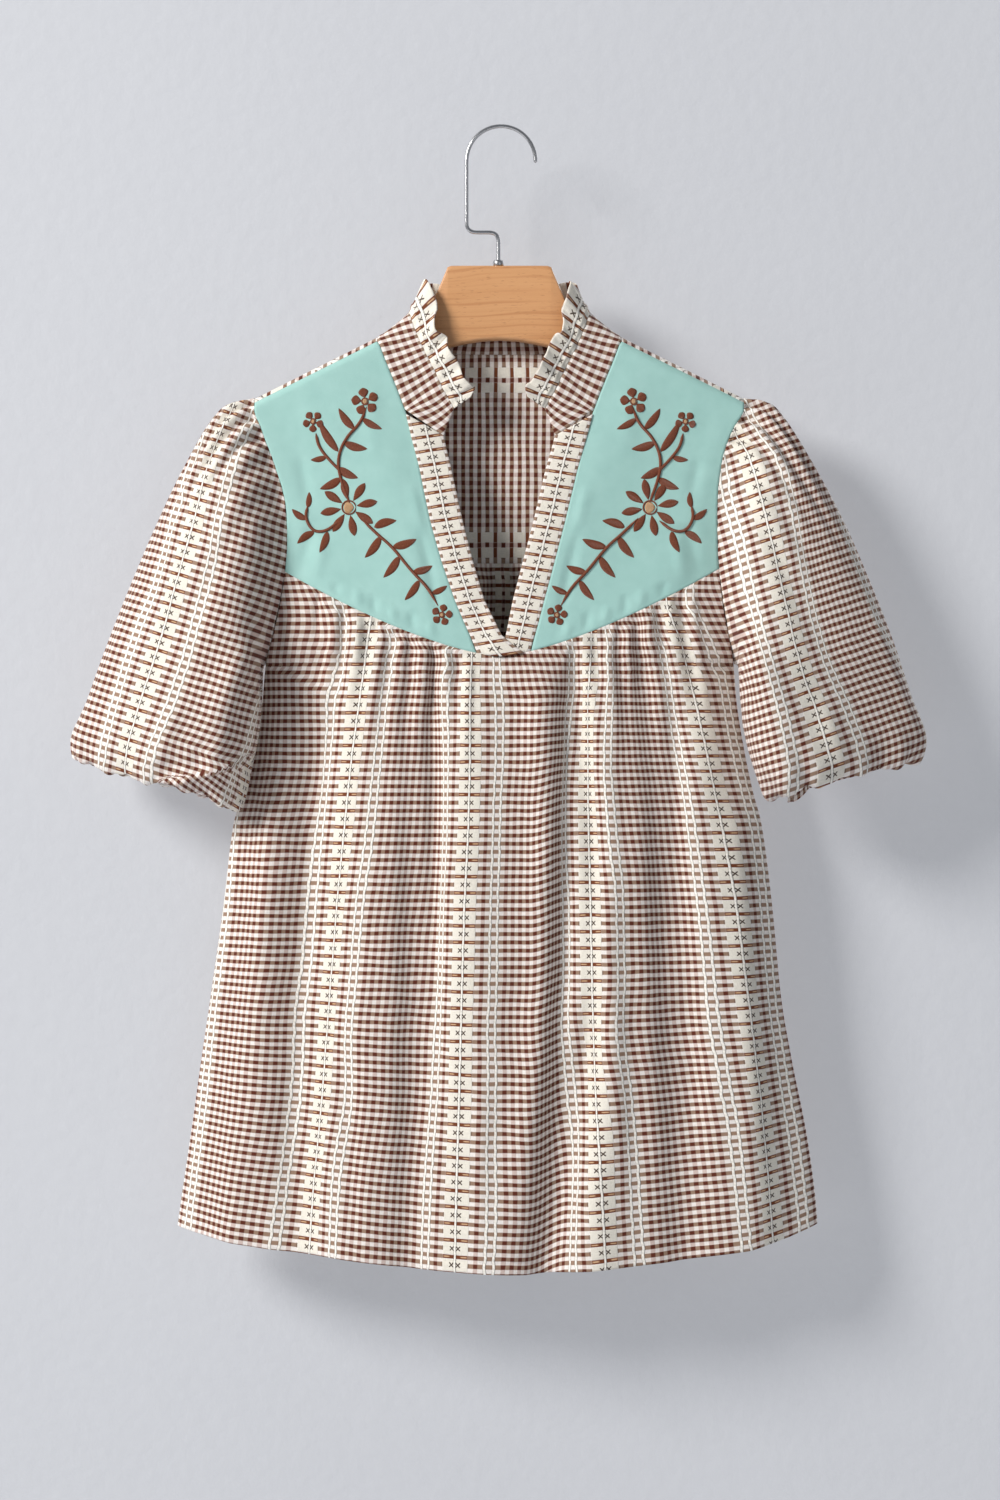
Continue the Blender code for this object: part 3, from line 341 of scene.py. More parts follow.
# Middle line of the hook's wire below its round part.
HOOK = table(
    "x z",
    (-0.8, -100.2),
    (-0.8, -84.6),
    (-1.5, -81.6),
    (-3.3, -79.6),
    (-6.4, -78.8),
    (-19.0, -78.8),
    (-22.2, -77.9),
    (-24.1, -75.8),
    (-24.8, -72.8),
)
HOOK_CENTRE_X = 1.2
HOOK_RADIUS = 26.0


def side_at(x, z):
    """Distance of the body's edge from the middle, on the side that x is on."""
    left = soft(SIDES, "z", "left", z)
    right = soft(SIDES, "z", "right", z)
    return np.where(np.asarray(x) < 0, left, right)


def ridge_z(x):
    """Height of the shoulder's ridge, carried on above the neck."""
    return SHOULDER_Z - (np.abs(x) - NECK_X) * SHOULDER_SLOPE


def hung_depth(x, z, name, profile):
    """Depth from the armhole's (profile 0) to the middle's (profile 1), drawn in over the ridge."""
    bottom = np.clip((z - UNDERARM_Z) / 60, 0.0, 1.0)
    arm = at(DEPTHS, "z", "arm", z) * np.sqrt(1 - (1 - bottom) ** 2)
    full = soft(DEPTHS, "z", name, z)
    drop = np.clip((ridge_z(x) - z) / RIDGE, 0.0, 1.0)
    return (arm + (full - arm) * profile) * np.sqrt(1 - (1 - drop) ** 2)


def depth_at(x, z, name, nominal=None):
    """Distance of the cloth from the middle plane, before its folds.

    A panel gives its own nominal share of the width, which holds good at its side edges.
    """
    share = np.clip(np.abs(x) / side_at(x, z), 0.0, 1.0)
    if nominal is not None:
        share = share + (nominal - share) * smooth((nominal - 0.85) / 0.15)
    low = smooth((-352 - z) / 62)
    outer = 4.0 - 1.8 * low
    inner = 1.0 + 0.5 * low
    return hung_depth(x, z, name, (1 - share**outer) ** (1 / inner))


def front_point(x, z, nominal=None):
    return np.stack([x, -depth_at(x, z, "front", nominal), z], axis=-1)


def back_point(x, z, nominal=None):
    return np.stack([x, depth_at(x, z, "back", nominal), z], axis=-1)


def seam_z(x):
    """Yoke seam of the front."""
    return -400.0 + 65.0 * (np.abs(x) / 163.0) ** 1.45


def along_armhole(x, z):
    """Where a column that starts at x on the ridge lies lower down, as it follows the armhole."""
    share = np.clip(np.abs(x) / SHOULDER_X, 0.0, 1.0)
    return x + np.sign(x) * share**6 * (side_at(x, z) - SHOULDER_X)


def over_shoulder(x, arc):
    """Point at an arc length from the ridge, towards the front where arc is positive."""
    turn = np.clip(np.abs(arc), 0.0, RIDGE * math.pi / 2)
    z = ridge_z(x) - RIDGE * (1 - np.cos(turn / RIDGE)) - (np.abs(arc) - turn)
    away = np.where(arc > 0, -depth_over(x, z, "front"), depth_over(x, z, "back"))
    return np.stack([along_armhole(x, z), away, z], axis=-1)


def depth_over(x, z, name):
    across = along_armhole(x, z)
    share = np.clip(np.abs(across) / side_at(across, z), 0.0, 1.0)
    return hung_depth(x, z, name, 1 - share**4)


def folds(rows, x, down):
    """Height of the folds at a share of the way down from the seam."""
    low = np.clip((down - 0.5) * 2, 0, 1)
    up = np.clip(down * 2, 0, 1)
    fade = smooth(down / 0.10)
    height = np.zeros(np.broadcast(x, down).shape)
    for i in range(len(rows["seam"])):
        centre = rows["seam"][i] + (rows["half"][i] - rows["seam"][i]) * up
        centre = centre + (rows["hem"][i] - rows["half"][i]) * low
        size = rows["top"][i] + (rows["middle"][i] - rows["top"][i]) * smooth(up)
        size = size + (rows["low"][i] - rows["middle"][i]) * low
        width = rows["width"][i] * (0.85 + 0.3 * down)
        height = height + size * fade * np.exp(-(((x - centre) / width) ** 2))
    return height


def gather_height(gathers, x_seam, down):
    """Small even waves just below a seam."""
    rise = smooth(down / 0.03) * (1 - smooth((down - 0.04) / 0.20))
    height = np.zeros(np.broadcast(x_seam, down).shape)
    for i in range(len(gathers["start"])):
        start = gathers["start"][i]
        end = gathers["end"][i]
        share = (x_seam - start) / (end - start)
        window = smooth(share / 0.08) * smooth((1 - share) / 0.08)
        wave = np.cos(2 * math.pi * share * gathers["waves"][i])
        height = height - gathers["height"][i] * window * wave * rise
    return height


def front_body_point(s, t):
    """Front below the yokes; s runs from side to side and t from the seam to the hem."""
    s = np.asarray(s, float)
    t = np.asarray(t, float)
    left_top = -float(side_at(-1, -336.0))
    right_top = float(side_at(1, -334.0))
    x_top = np.where(s < 0, -s * left_top, s * right_top)
    z_top = seam_z(x_top) - HALF * 1.15
    x_low = np.where(s < 0, s * HEM_LEFT, s * HEM_RIGHT)
    z_low = np.interp(x_low, HEM["x"], HEM["z"])
    z_edge = np.where(s < 0, seam_z(left_top) + (HEM["z"][0] - seam_z(left_top)) * t, 0.0)
    z_edge = np.where(s < 0, z_edge, seam_z(right_top) + (HEM["z"][-1] - seam_z(right_top)) * t)
    x = s * side_at(s, z_edge - HALF)
    z = z_top + (z_low - z_top) * t
    height = folds(FRONT_FOLDS, x, t) + gather_height(FRONT_GATHERS, x_top, t)
    point = front_point(x, z, np.abs(s))
    point[..., 1] -= height * smooth((1 - np.abs(s)) / 0.14) + HALF * (1 + smooth(t / 0.12))
    return point


def back_body_point(s, t):
    """Back below its yoke, the same way."""
    s = np.asarray(s, float)
    t = np.asarray(t, float)
    top = side_at(s, BACK_SEAM_Z)
    x_low = np.where(s < 0, s * HEM_LEFT, s * HEM_RIGHT)
    z_low = np.interp(x_low, HEM["x"], HEM["z"])
    low_edge = np.where(s < 0, HEM["z"][0], HEM["z"][-1])
    start = BACK_SEAM_Z - HALF
    z_edge = start + (low_edge - start) * t
    x = s * side_at(s, z_edge)
    z = start + (z_low - start) * t
    height = folds(BACK_FOLDS, x, t) + gather_height(BACK_GATHERS, s * top, t)
    point = back_point(x, z, np.abs(s))
    point[..., 1] += height * smooth((1 - np.abs(s)) / 0.14) + HALF * (1 + smooth(t / 0.12))
    return point


def patch(top, low, inner, outer, s, t):
    """Four curves filled in; each gives x and z for a share of its length."""
    s = np.asarray(s, float)[..., None]
    t = np.asarray(t, float)[..., None]
    zero = np.zeros_like(s)
    one = np.ones_like(s)
    rule = (1 - t) * top(s) + t * low(s) + (1 - s) * inner(t) + s * outer(t)
    corners = (1 - s) * (1 - t) * top(zero) + s * (1 - t) * top(one)
    corners = corners + (1 - s) * t * low(zero) + s * t * low(one)
    return rule - corners


def yoke_point(side, s, t):
    """Front yoke; s runs from the neck to the armhole and t from the shoulder to the seam."""
    name = "left_out" if side < 0 else "right_out"

    def neck(share):
        share = share[..., 0]
        marks = NECK_SHARE["z"].copy()
        marks[-1] = corner_z
        z = np.interp(share, NECK_SHARE["t"], marks)
        x = np.where(z > BAND_TOP_Z, at(NECK_SIDE, "z", "x", z), np.abs(at(BANDS, "z", name, z)))
        x = x + HALF * 1.05
        return np.stack([x, z], axis=-1)

    def arm(share):
        share = share[..., 0]
        z = arm_top_z + (arm_low_z - arm_top_z) * share
        return np.stack([side_at(side, z) - HALF, z], axis=-1)

    def shoulder(share):
        share = share[..., 0]
        x = NECK_X + HALF + (float(side_at(side, -209.0)) - NECK_X - GAP) * share
        z = over_shoulder(x, np.full_like(x, SEAM_ARC + HALF * 2))[..., 2]
        return np.stack([x, z], axis=-1)

    def low(share):
        share = share[..., 0]
        start = corner_x
        end = float(side_at(side, -336.0)) - HALF
        x = start + (end - start) * share
        return np.stack([x, seam_z(x) + HALF * 1.15], axis=-1)

    corner_x = abs(float(at(BANDS, "z", name, -397.0))) + HALF * 1.05
    corner_z = float(seam_z(corner_x)) + HALF * 1.15
    corner_x = abs(float(at(BANDS, "z", name, corner_z))) + HALF * 1.05
    corner_z = float(seam_z(corner_x)) + HALF * 1.15
    end = np.array([[1.0]])
    arm_top_z = float(shoulder(end)[0, 1])
    arm_low_z = float(low(end)[0, 1])
    s, t = np.broadcast_arrays(np.asarray(s, float), np.asarray(t, float))
    flat = patch(shoulder, low, neck, arm, s, t)
    x = flat[..., 0] * side
    z = flat[..., 1]
    edge = smooth(s / 0.2) * smooth((1 - s) / 0.2) * smooth(t / 0.2) * smooth((1 - t) / 0.15)
    height = 1.1 * edge * np.sin(5.0 * s + 3.0 * t + 0.6 * side)
    point = front_point(x, z)
    point[..., 1] -= height
    return point


NECK_SHARE = table(
    "t z",
    (0.00, -162.8),
    (0.05, -166.2),
    (0.10, -178.4),
    (0.15, -191.0),
    (0.20, -203.8),
    (0.25, -216.6),
    (0.30, -229.6),
    (0.46, -267.8),
    (0.58, -297.8),
    (0.70, -327.8),
    (0.82, -357.8),
    (0.93, -384.0),
    (1.00, -397.0),
)


def lift(x, z):
    """How far the left band stands forward where it crosses over the right one."""
    return 2.0 * smooth((x + 15) / 13) * smooth((-336 - z) / 24)


def band_point(side, s, t):
    """Neck band; s runs from its outer to its inner edge and t down its length."""
    outer, inner = ("left_out", "left_in") if side < 0 else ("right_out", "right_in")
    z = BAND_TOP_Z - HALF + (BAND_LOW_Z - BAND_TOP_Z + HALF) * t
    a = at(BANDS, "z", outer, z) - side * HALF
    b = at(BANDS, "z", inner, z)
    x = a + (b - a) * s
    low = seam_z(x) + HALF * (1.6 if side < 0 else 2.6)
    z = z + (low - BAND_LOW_Z) * smooth((t - 0.85) / 0.15)
    point = front_point(x, z)
    if side < 0:
        point[..., 1] -= lift(x, z)
    return point


def collar_rows(u):
    """Lower edge, upper edge and free edge of the collar at u, -1 to 1 round the neck."""
    u = np.asarray(u, float)
    side = np.where(u < 0, -1.0, 1.0)
    k = (len(COLLAR["at"]) - 1) * (1 - np.abs(u))
    across = at(COLLAR, "at", "across", k)
    on_neck = np.interp(across, NECK_SIDE["x"][::-1], NECK_SIDE["z"][::-1])
    flat = front_point(side * across, np.where(k < 2.0, BAND_TOP_Z, on_neck))
    joined = over_shoulder(side * across, at(COLLAR, "at", "arc", k))
    corner = front_point(side * 90.0, np.full_like(k, -166.2))
    lip = over_shoulder(side * NECK_X, np.full_like(k, SEAM_ARC))
    link = corner + (lip - corner) * np.clip(k - 7.0, 0.0, 1.0)[..., None]
    lower = np.where((k <= 7.0)[..., None], flat, np.where((k < 8.0)[..., None], link, joined))

    def edge(name):
        x, y, z = (soft(COLLAR, "at", name + axis, k) for axis in ("_x", "_y", "_z"))
        return np.stack([side * x, y, z], axis=-1)

    return lower, edge("edge"), edge("free")


def collar_run(u, row):
    """Direction round the collar at u along its lower (row 0) or upper (row 1) edge."""
    step = 0.004
    return unit(collar_rows(np.clip(u + step, -1, 1))[row] - collar_rows(np.clip(u - step, -1, 1))[row])


def stand_point(u, w):
    """Collar stand; w runs from the neck seam to the ruffle."""
    lower, upper = collar_rows(u)[:2]
    share = 0.022 + 0.966 * np.asarray(w, float)[..., None]
    return lower + (upper - lower) * share


RUFFLE_WAVES = 34


def round_share(u):
    """Share of the neck's way round at u, even in length."""
    return np.interp(u, ROUND["u"], ROUND["share"])


def measure_round():
    """Length of the stand's upper edge, as a table of shares."""
    u = np.linspace(-1, 1, 201)
    total = running(collar_rows(u)[1])
    return {"u": u, "share": total / total[-1]}


ROUND = measure_round()


def back_yoke_point(s, t):
    """Back yoke; s runs from armhole to armhole, t from its upper edge down to its seam."""
    s, t = np.broadcast_arrays(np.asarray(s, float), np.asarray(t, float))
    x = s * SHOULDER_X
    size = np.abs(x)
    across = COLLAR["across"][8:][::-1]
    arcs = COLLAR["arc"][8:][::-1]
    start = np.where(size > NECK_X, SEAM_ARC, np.interp(size, across, arcs)) - HALF
    end = -(ridge_z(x) - BACK_SEAM_Z - HALF - RIDGE + RIDGE * math.pi / 2)
    arc = start + (end - start) * t
    return over_shoulder(x * (1 - 0.0008), arc)


def armhole_loop(side):
    """The armhole's corners in order round it, from the panels' own rows."""
    front_rows = FRONT_ROWS[FRONT_ROWS <= UNDERARM_SHARE + 1e-6]
    back_rows = BACK_ROWS[BACK_ROWS <= BACK_UNDERARM_SHARE + 1e-6]
    over = back_yoke_point(np.full(len(YOKE_OVER), float(side)), YOKE_OVER)
    front = yoke_point(side, np.ones(len(YOKE_ROWS)), YOKE_ROWS)
    lower = front_body_point(np.full(len(front_rows), float(side)), front_rows)
    back = back_body_point(np.full(len(back_rows), float(side)), back_rows)
    top = int(np.argmax(over[:, 2]))
    line = [over[i] for i in range(top, -1, -1)]
    line += [*front, *lower[:-1]]
    line.append((lower[-1] + back[-1]) / 2)
    line += [*back[-2::-1]]
    line += [over[i] for i in range(len(over) - 1, top - 1, -1)]
    line = np.array(line)
    middle = (line[0, 2] + line[:, 2].min()) / 2
    half = line[0, 2] - middle
    turn = np.arccos(np.clip((line[:, 2] - middle) / half, -1, 1))
    low = int(np.argmin(line[:, 2]))
    turn[low:] = 2 * math.pi - turn[low:]
    turn[0] = 0.0
    turn[-1] = 2 * math.pi
    return turn, line


def armhole(side, turn):
    """The armhole's loop; turn 0 is the shoulder's tip and pi the underarm, front side first."""
    marks, line = LOOPS[side]
    turn = np.mod(np.asarray(turn, float), 2 * math.pi)
    return np.stack([np.interp(turn, marks, line[:, i]) for i in range(3)], axis=-1)


def sleeve_base(side, turn, t):
    """Sleeve without its folds."""
    rows = LEFT_SLEEVE if side < 0 else RIGHT_SLEEVE
    turn, t = np.broadcast_arrays(np.asarray(turn, float), np.asarray(t, float))
    get = {name: soft(rows, "at", name, t) for name in rows if name != "at"}
    middle_x = (get["out_x"] + get["in_x"]) / 2
    middle_z = (get["out_z"] + get["in_z"]) / 2
    half_x = (get["out_x"] - get["in_x"]) / 2
    half_z = (get["out_z"] - get["in_z"]) / 2
    length = np.hypot(half_x, half_z)
    wave = np.sin(turn)
    bow = get["bow"] * np.abs(wave)
    x = middle_x + half_x * np.cos(turn) + bow * half_z / length
    z = middle_z + half_z * np.cos(turn) - bow * half_x / length
    y = -get["in_y"] * (1 - np.cos(turn)) / 2
    y = y - np.where(wave >= 0, get["front"], get["back"]) * wave
    ring = np.stack([x * -side, y, z], axis=-1)
    seam = armhole(side, turn)
    start = smooth(t / 0.11)[..., None]
    outward = np.zeros_like(seam)
    outward[..., 0] = side * (0.6 + 0.8 * smooth((-325 - seam[..., 2]) / 50))
    outward[..., 0] += side * 0.3 * smooth((seam[..., 2] + 252) / 14)
    return seam + outward + (ring - seam) * start


CAP_FOLDS = table(
    "turn width height reach",
    (-0.62, 0.13, 3.0, 0.36),
    (-0.34, 0.11, 3.4, 0.36),
    (-0.10, 0.10, 3.6, 0.34),
    (0.14, 0.10, 4.0, 0.40),
    (0.36, 0.10, 4.4, 0.46),
    (0.58, 0.10, 4.6, 0.52),
    (0.80, 0.10, 4.2, 0.46),
    (1.04, 0.12, 3.6, 0.50),
    (1.34, 0.14, 2.8, 0.40),
)


def sleeve_out(side, turn, t):
    """Direction straight out of the sleeve's smooth form."""
    step = 0.004
    across = sleeve_base(side, turn + step, t) - sleeve_base(side, turn - step, t)
    down = sleeve_base(side, turn, np.clip(t + step, 0, 1)) - sleeve_base(side, turn, np.clip(t - step, 0, 1))
    return unit(np.cross(across, down) * -side)


def sleeve_height(side, turn, t):
    """Height of the gathers of the sleeve's cap and lower edge and of its long folds."""
    wrapped = (turn + math.pi) % (2 * math.pi) - math.pi
    height = np.zeros(np.broadcast(turn, t).shape)
    for i in range(len(CAP_FOLDS["turn"])):
        near = np.exp(-(((wrapped - CAP_FOLDS["turn"][i]) / (CAP_FOLDS["width"][i] * 0.72)) ** 2))
        fade = smooth(t / 0.05) * (1 - smooth(t / CAP_FOLDS["reach"][i]))
        height = height + CAP_FOLDS["height"][i] * near * fade
    cuff = smooth((t - 0.70) / 0.2) * (1 - smooth((t - 0.93) / 0.07))
    height = height + 1.8 * cuff * np.sin(12 * turn + 0.8 * side)
    long_folds = smooth(t / 0.3) * (1 - smooth((t - 0.75) / 0.25))
    return height + 2.6 * long_folds * np.sin(3 * turn + 2.4 + 0.9 * side)


def cuff_point(side, turn, t):
    """Elastic cuff and its frill, from the sleeve's lower seam down inside the puff."""
    ring = sleeve_base(side, turn, 1.0)
    middle = sleeve_base(side, np.array([0.0, math.pi]), 1.0).mean(axis=0)
    rows = LEFT_SLEEVE if side < 0 else RIGHT_SLEEVE
    run_x = (rows["out_x"][-1] - rows["in_x"][-1]) * -side
    run_z = rows["out_z"][-1] - rows["in_z"][-1]
    length = math.hypot(run_x, run_z)
    axis = np.array([run_z / length * -side, 0.0, run_x / length * side])
    if axis[2] > 0:
        axis = -axis
    spread = ring - middle
    size = np.linalg.norm(spread, axis=-1, keepdims=True)
    t = np.asarray(t, float)
    wave = smooth((t - 0.35) / 0.65) * 1.9 * np.sin(CUFF_WAVES * turn)
    inward = -2.5 - 1.6 * np.sin(math.pi * np.clip(t, 0, 1)) + 2.0 * t
    return ring + axis * (24.0 * t - 3.0)[..., None] + spread / size * (wave + inward)[..., None]


def wall_grid(surface, u, v, wall, closed):
    """Outer and inner points of a wall over a surface, its normals taken from the surface."""
    grid_v, grid_u = np.meshgrid(v, u, indexing="ij")
    step_u = 5e-5 * (u[-1] - u[0])
    step_v = 5e-5 * (v[-1] - v[0])
    before = grid_u - step_u
    after = grid_u + step_u
    if not closed:
        before = np.maximum(before, u[0])
        after = np.minimum(after, u[-1])
    above = np.maximum(grid_v - step_v, v[0])
    below = np.minimum(grid_v + step_v, v[-1])
    du = surface(after, grid_v) - surface(before, grid_v)
    dv = surface(grid_u, below) - surface(grid_u, above)
    normal = unit(np.cross(du, dv))
    middle = surface(grid_u, grid_v)
    return middle + normal * wall / 2, middle - normal * wall / 2


YOKE_ROWS = np.array([0, 0.05, 0.10, 0.15, 0.20, 0.25, 0.30, 0.38, 0.46, 0.58, 0.70, 0.82, 0.93, 1.0])
YOKE_OVER = np.array([0, 0.025, 0.052, 0.08, 0.115, 0.18, 0.32, 0.48, 0.65, 0.82, 1.0])
UNDERARM_SHARE = (336.3 - 406.0) / (336.3 - 829.0)
BACK_UNDERARM_SHARE = (328.15 - 406.0) / (328.15 - 829.0)
FRONT_ROWS = np.array([0, 0.016, 0.05, 0.095, UNDERARM_SHARE, 0.21, 0.31, 0.45, 0.62, 0.81, 1.0])
BACK_ROWS = np.array([0, 0.018, 0.055, 0.105, BACK_UNDERARM_SHARE, 0.26, 0.44, 0.70, 1.0])
CUFF_WAVES = 12
LOOPS = {side: armhole_loop(side) for side in (-1, 1)}


def sleeve_columns(side):
    """Turns round the sleeve at the armhole's corners, with more between the far ones."""
    marks = LOOPS[side][0]
    turns = [marks[0]]
    for mark in marks[1:]:
        gap = mark - turns[-1]
        if gap < 0.02:
            if mark == marks[-1]:
                turns[-1] = mark
            continue
        count = max(1, round(gap / 0.17))
        turns += list(np.linspace(turns[-1], mark, count + 1)[1:])
    return np.array(turns)


def back_yoke_columns():
    """Columns across the back yoke, one at each row of the neck seam."""
    neck = COLLAR["across"][8:]
    half = np.concatenate([np.linspace(SHOULDER_X, 104, 7), neck])
    return np.concatenate([-half, half[::-1][1:]]) / SHOULDER_X


# ---- Finer form than the solids have ------------------------------------------------------

# Creases of the front: soft runs from point to point, with a half width and a height.
FRONT_CREASES = table(
    "ax az bx bz width height",
    (-118, -352, -117, -450, 3.4, -2.4),
    (-136, -346, -137, -392, 3.0, -2.0),
    (-127, -349, -128, -380, 3.2, 1.5),
    (-108, -360, -106, -420, 4.0, 1.6),
    (-92, -366, -90, -398, 3.0, -1.5),
    (-67, -376, -70, -410, 2.6, -1.8),
    (-49, -386, -52, -450, 2.6, -2.6),
    (-42, -390, -44, -440, 3.4, 1.6),
    (-60, -384, -62, -420, 3.4, 1.3),
    (-30, -396, -31, -420, 2.4, -1.0),
    (50, -392, 50, -520, 3.0, -2.6),
    (58, -386, 60, -470, 3.6, 1.6),
    (78, -378, 80, -402, 2.4, -1.3),
    (92, -368, 93, -396, 2.6, -1.4),
    (100, -358, 104, -460, 4.2, -2.6),
    (108, -358, 112, -410, 3.4, 1.6),
    (116, -352, 117, -382, 2.8, -2.0),
    (126, -350, 128, -378, 3.0, 1.2),
    (134, -348, 136, -372, 2.6, -1.2),
    (58, -390, 71, -580, 9.5, -8.0),
    (71, -500, 66, -780, 10.5, -6.8),
    (67, -660, 38, -900, 12.0, -7.8),
    (30, -410, 38, -580, 13.0, 4.2),
    (38, -500, 31, -780, 14.0, 4.0),
    (32, -660, 4, -900, 15.0, 4.4),
    (-48, -410, -50, -620, 9.0, -5.0),
    (-50, -540, -56, -820, 10.0, -4.4),
    (-73, -430, -76, -660, 11.0, 3.4),
    (-76, -600, -84, -880, 11.0, 2.4),
    (131, -420, 135, -600, 9.0, -5.2),
    (135, -540, 150, -820, 10.5, -5.0),
    (106, -450, 113, -680, 12.0, 3.6),
    (113, -620, 120, -880, 12.0, 2.6),
    (-143, -450, -148, -660, 13.0, -6.0),
    (-148, -580, -160, -880, 14.0, -6.0),
    (-172, -470, -184, -820, 12.0, 3.0),
    (84, -640, 92, -820, 8.0, 2.0),
    (-112, -700, -108, -880, 8.0, -2.4),
    (-128, -680, -132, -860, 8.0, 1.6),
    (182, -500, 196, -880, 13.0, 5.5),
    (212, -480, 232, -880, 12.0, -5.0),
    (-14, -700, -16, -860, 7.0, 1.4),
)

# Creases of the back, the same way.
BACK_CREASES = table(
    "ax az bx bz width height",
    (-84, -330, -86, -400, 3.0, -1.8),
    (-60, -330, -62, -380, 3.0, 1.6),
    (-34, -330, -36, -420, 3.4, -2.0),
    (-8, -330, -9, -370, 2.8, 1.5),
    (20, -330, 22, -410, 3.2, -1.9),
    (46, -330, 50, -376, 3.0, 1.5),
    (72, -330, 78, -430, 3.4, -2.1),
    (-120, -440, -140, -620, 8.0, 1.8),
    (120, -460, 142, -660, 8.0, -1.8),
    (-30, -520, -34, -800, 9.0, 1.8),
    (60, -560, 70, -820, 9.0, -1.8),
    (150, -620, 180, -810, 8.0, 1.6),
)

# Dimples and soft runs of the smooth yokes, on the left; the right one takes them mirrored.
YOKE_CREASES = table(
    "ax az bx bz width height",
    (-122, -344, -124, -362, 3.6, -1.1),
    (-106, -350, -107, -371, 3.4, 1.1),
    (-94, -354, -94, -378, 3.2, -1.1),
    (-80, -362, -79, -385, 3.2, 1.0),
    (-66, -366, -64, -392, 3.4, -1.2),
    (-52, -374, -50, -396, 3.0, 1.0),
    (-60, -300, -42, -384, 4.4, -1.4),
    (-66, -270, -52, -330, 5.0, 0.9),
    (-140, -300, -150, -340, 5.0, -1.2),
    (-132, -310, -138, -346, 4.6, 1.0),
    (-150, -250, -142, -290, 5.0, -1.0),
    (-100, -200, -92, -260, 8.0, 0.8),
    (-150, -214, -110, -240, 8.0, 0.7),
)

# Creases of the sleeves, by turn and share of the way down.
SLEEVE_CREASES = table(
    "ax az bx bz width height",
    (0.20, 0.02, 0.26, 0.30, 0.06, -2.6),
    (0.42, 0.02, 0.52, 0.34, 0.06, -2.8),
    (0.66, 0.02, 0.80, 0.30, 0.06, -2.6),
    (0.92, 0.02, 1.10, 0.26, 0.07, -2.2),
    (-0.16, 0.02, -0.20, 0.26, 0.06, -2.4),
    (-0.42, 0.02, -0.50, 0.28, 0.06, -2.4),
    (-0.70, 0.02, -0.84, 0.24, 0.07, -2.0),
    (1.50, 0.30, 1.10, 0.70, 0.16, 2.2),
    (2.30, 0.24, 2.00, 0.66, 0.14, -2.4),
    (2.60, 0.30, 2.40, 0.80, 0.12, 2.0),
    (0.60, 0.50, 0.50, 0.90, 0.12, -1.6),
    (1.60, 0.62, 1.66, 0.95, 0.12, -2.4),
    (2.10, 0.66, 2.14, 0.96, 0.12, 2.2),
    (4.20, 0.10, 4.40, 0.60, 0.16, 2.2),
    (4.90, 0.20, 5.00, 0.80, 0.16, -2.2),
    (5.50, 0.16, 5.40, 0.60, 0.14, 1.8),
)


# The fold that tucks up the left sleeve's lower front, in the sleeve's own turn and share.
TUCK = table(
    "ax az bx bz width height",
    (1.60, 0.872, 2.20, 0.792, 0.015, -4.2),
    (2.10, 0.796, 2.84, 0.690, 0.015, -3.8),
    (1.90, 0.900, 2.90, 0.770, 0.034, 3.0),
    (1.50, 0.820, 2.30, 0.745, 0.024, 1.8),
)
# The same fold as it shows from the front.
TUCK_LINE = table(
    "x z",
    (-254, -494),
    (-246, -490),
    (-223, -488),
    (-208, -486),
    (-198, -482),
    (-188, -473),
)


def creases(rows, x, z):
    """Height of soft ridges and troughs that fade out towards both ends of their runs."""
    height = np.zeros(np.broadcast(x, z).shape)
    for i in range(len(rows["ax"])):
        run_x = rows["bx"][i] - rows["ax"][i]
        run_z = rows["bz"][i] - rows["az"][i]
        length = math.hypot(run_x, run_z)
        along = ((x - rows["ax"][i]) * run_x + (z - rows["az"][i]) * run_z) / length**2
        away = ((x - rows["ax"][i]) * run_z - (z - rows["az"][i]) * run_x) / length
        ends = smooth((along + 0.08) / 0.3) * smooth((1.1 - along) / 0.6)
        height = height + rows["height"][i] * ends * np.exp(-((away / rows["width"][i]) ** 2))
    return height


def ripple(x, z):
    """Faint unevenness of hanging cloth."""
    a = np.sin(x / 9.1 + 2.2 * np.sin(z / 57.0) + 0.7) * np.sin(z / 41.0 + x / 83.0)
    b = np.sin(x / 5.3 - z / 37.0 + 1.9 * np.sin(z / 71.0)) * np.sin(z / 29.0 + 1.3)
    return 0.34 * a + 0.18 * b


def fine_gathers(x, down_mm):
    """Crisp uneven gathers right at a seam."""
    wave = np.sin(x / 1.62 + 1.4 * np.sin(x / 7.1)) + 0.7 * np.sin(x / 1.05 + 2.0 * np.sin(x / 11.3))
    return 0.42 * wave * smooth(down_mm / 2.0) * (1 - smooth((down_mm - 3) / 17.0))


def front_fine(s, t):
    """The front with its creases, its gathers and the turned-up hem."""
    point = front_body_point(s, t)
    x = point[..., 0]
    z = point[..., 2]
    down_mm = (seam_z(x) - z).clip(0)
    window = smooth((x + 146) / 16) * smooth((-14 - x) / 8) + smooth((x - 38) / 10) * smooth((150 - x) / 14)
    height = creases(FRONT_CREASES, x, z) + ripple(x, z) + fine_gathers(x, down_mm) * window
    return laid_on(point, s, t, height, down_mm, 1.0)


def back_fine(s, t):
    """The back, the same way."""
    point = back_body_point(s, t)
    x = point[..., 0]
    z = point[..., 2]
    down_mm = (BACK_SEAM_Z - z).clip(0)
    window = smooth((104 - np.abs(x)) / 14)
    height = creases(BACK_CREASES, x, z) + ripple(x + 31, z) + fine_gathers(x + 5, down_mm) * window
    return laid_on(point, s, t, height, down_mm, -1.0)


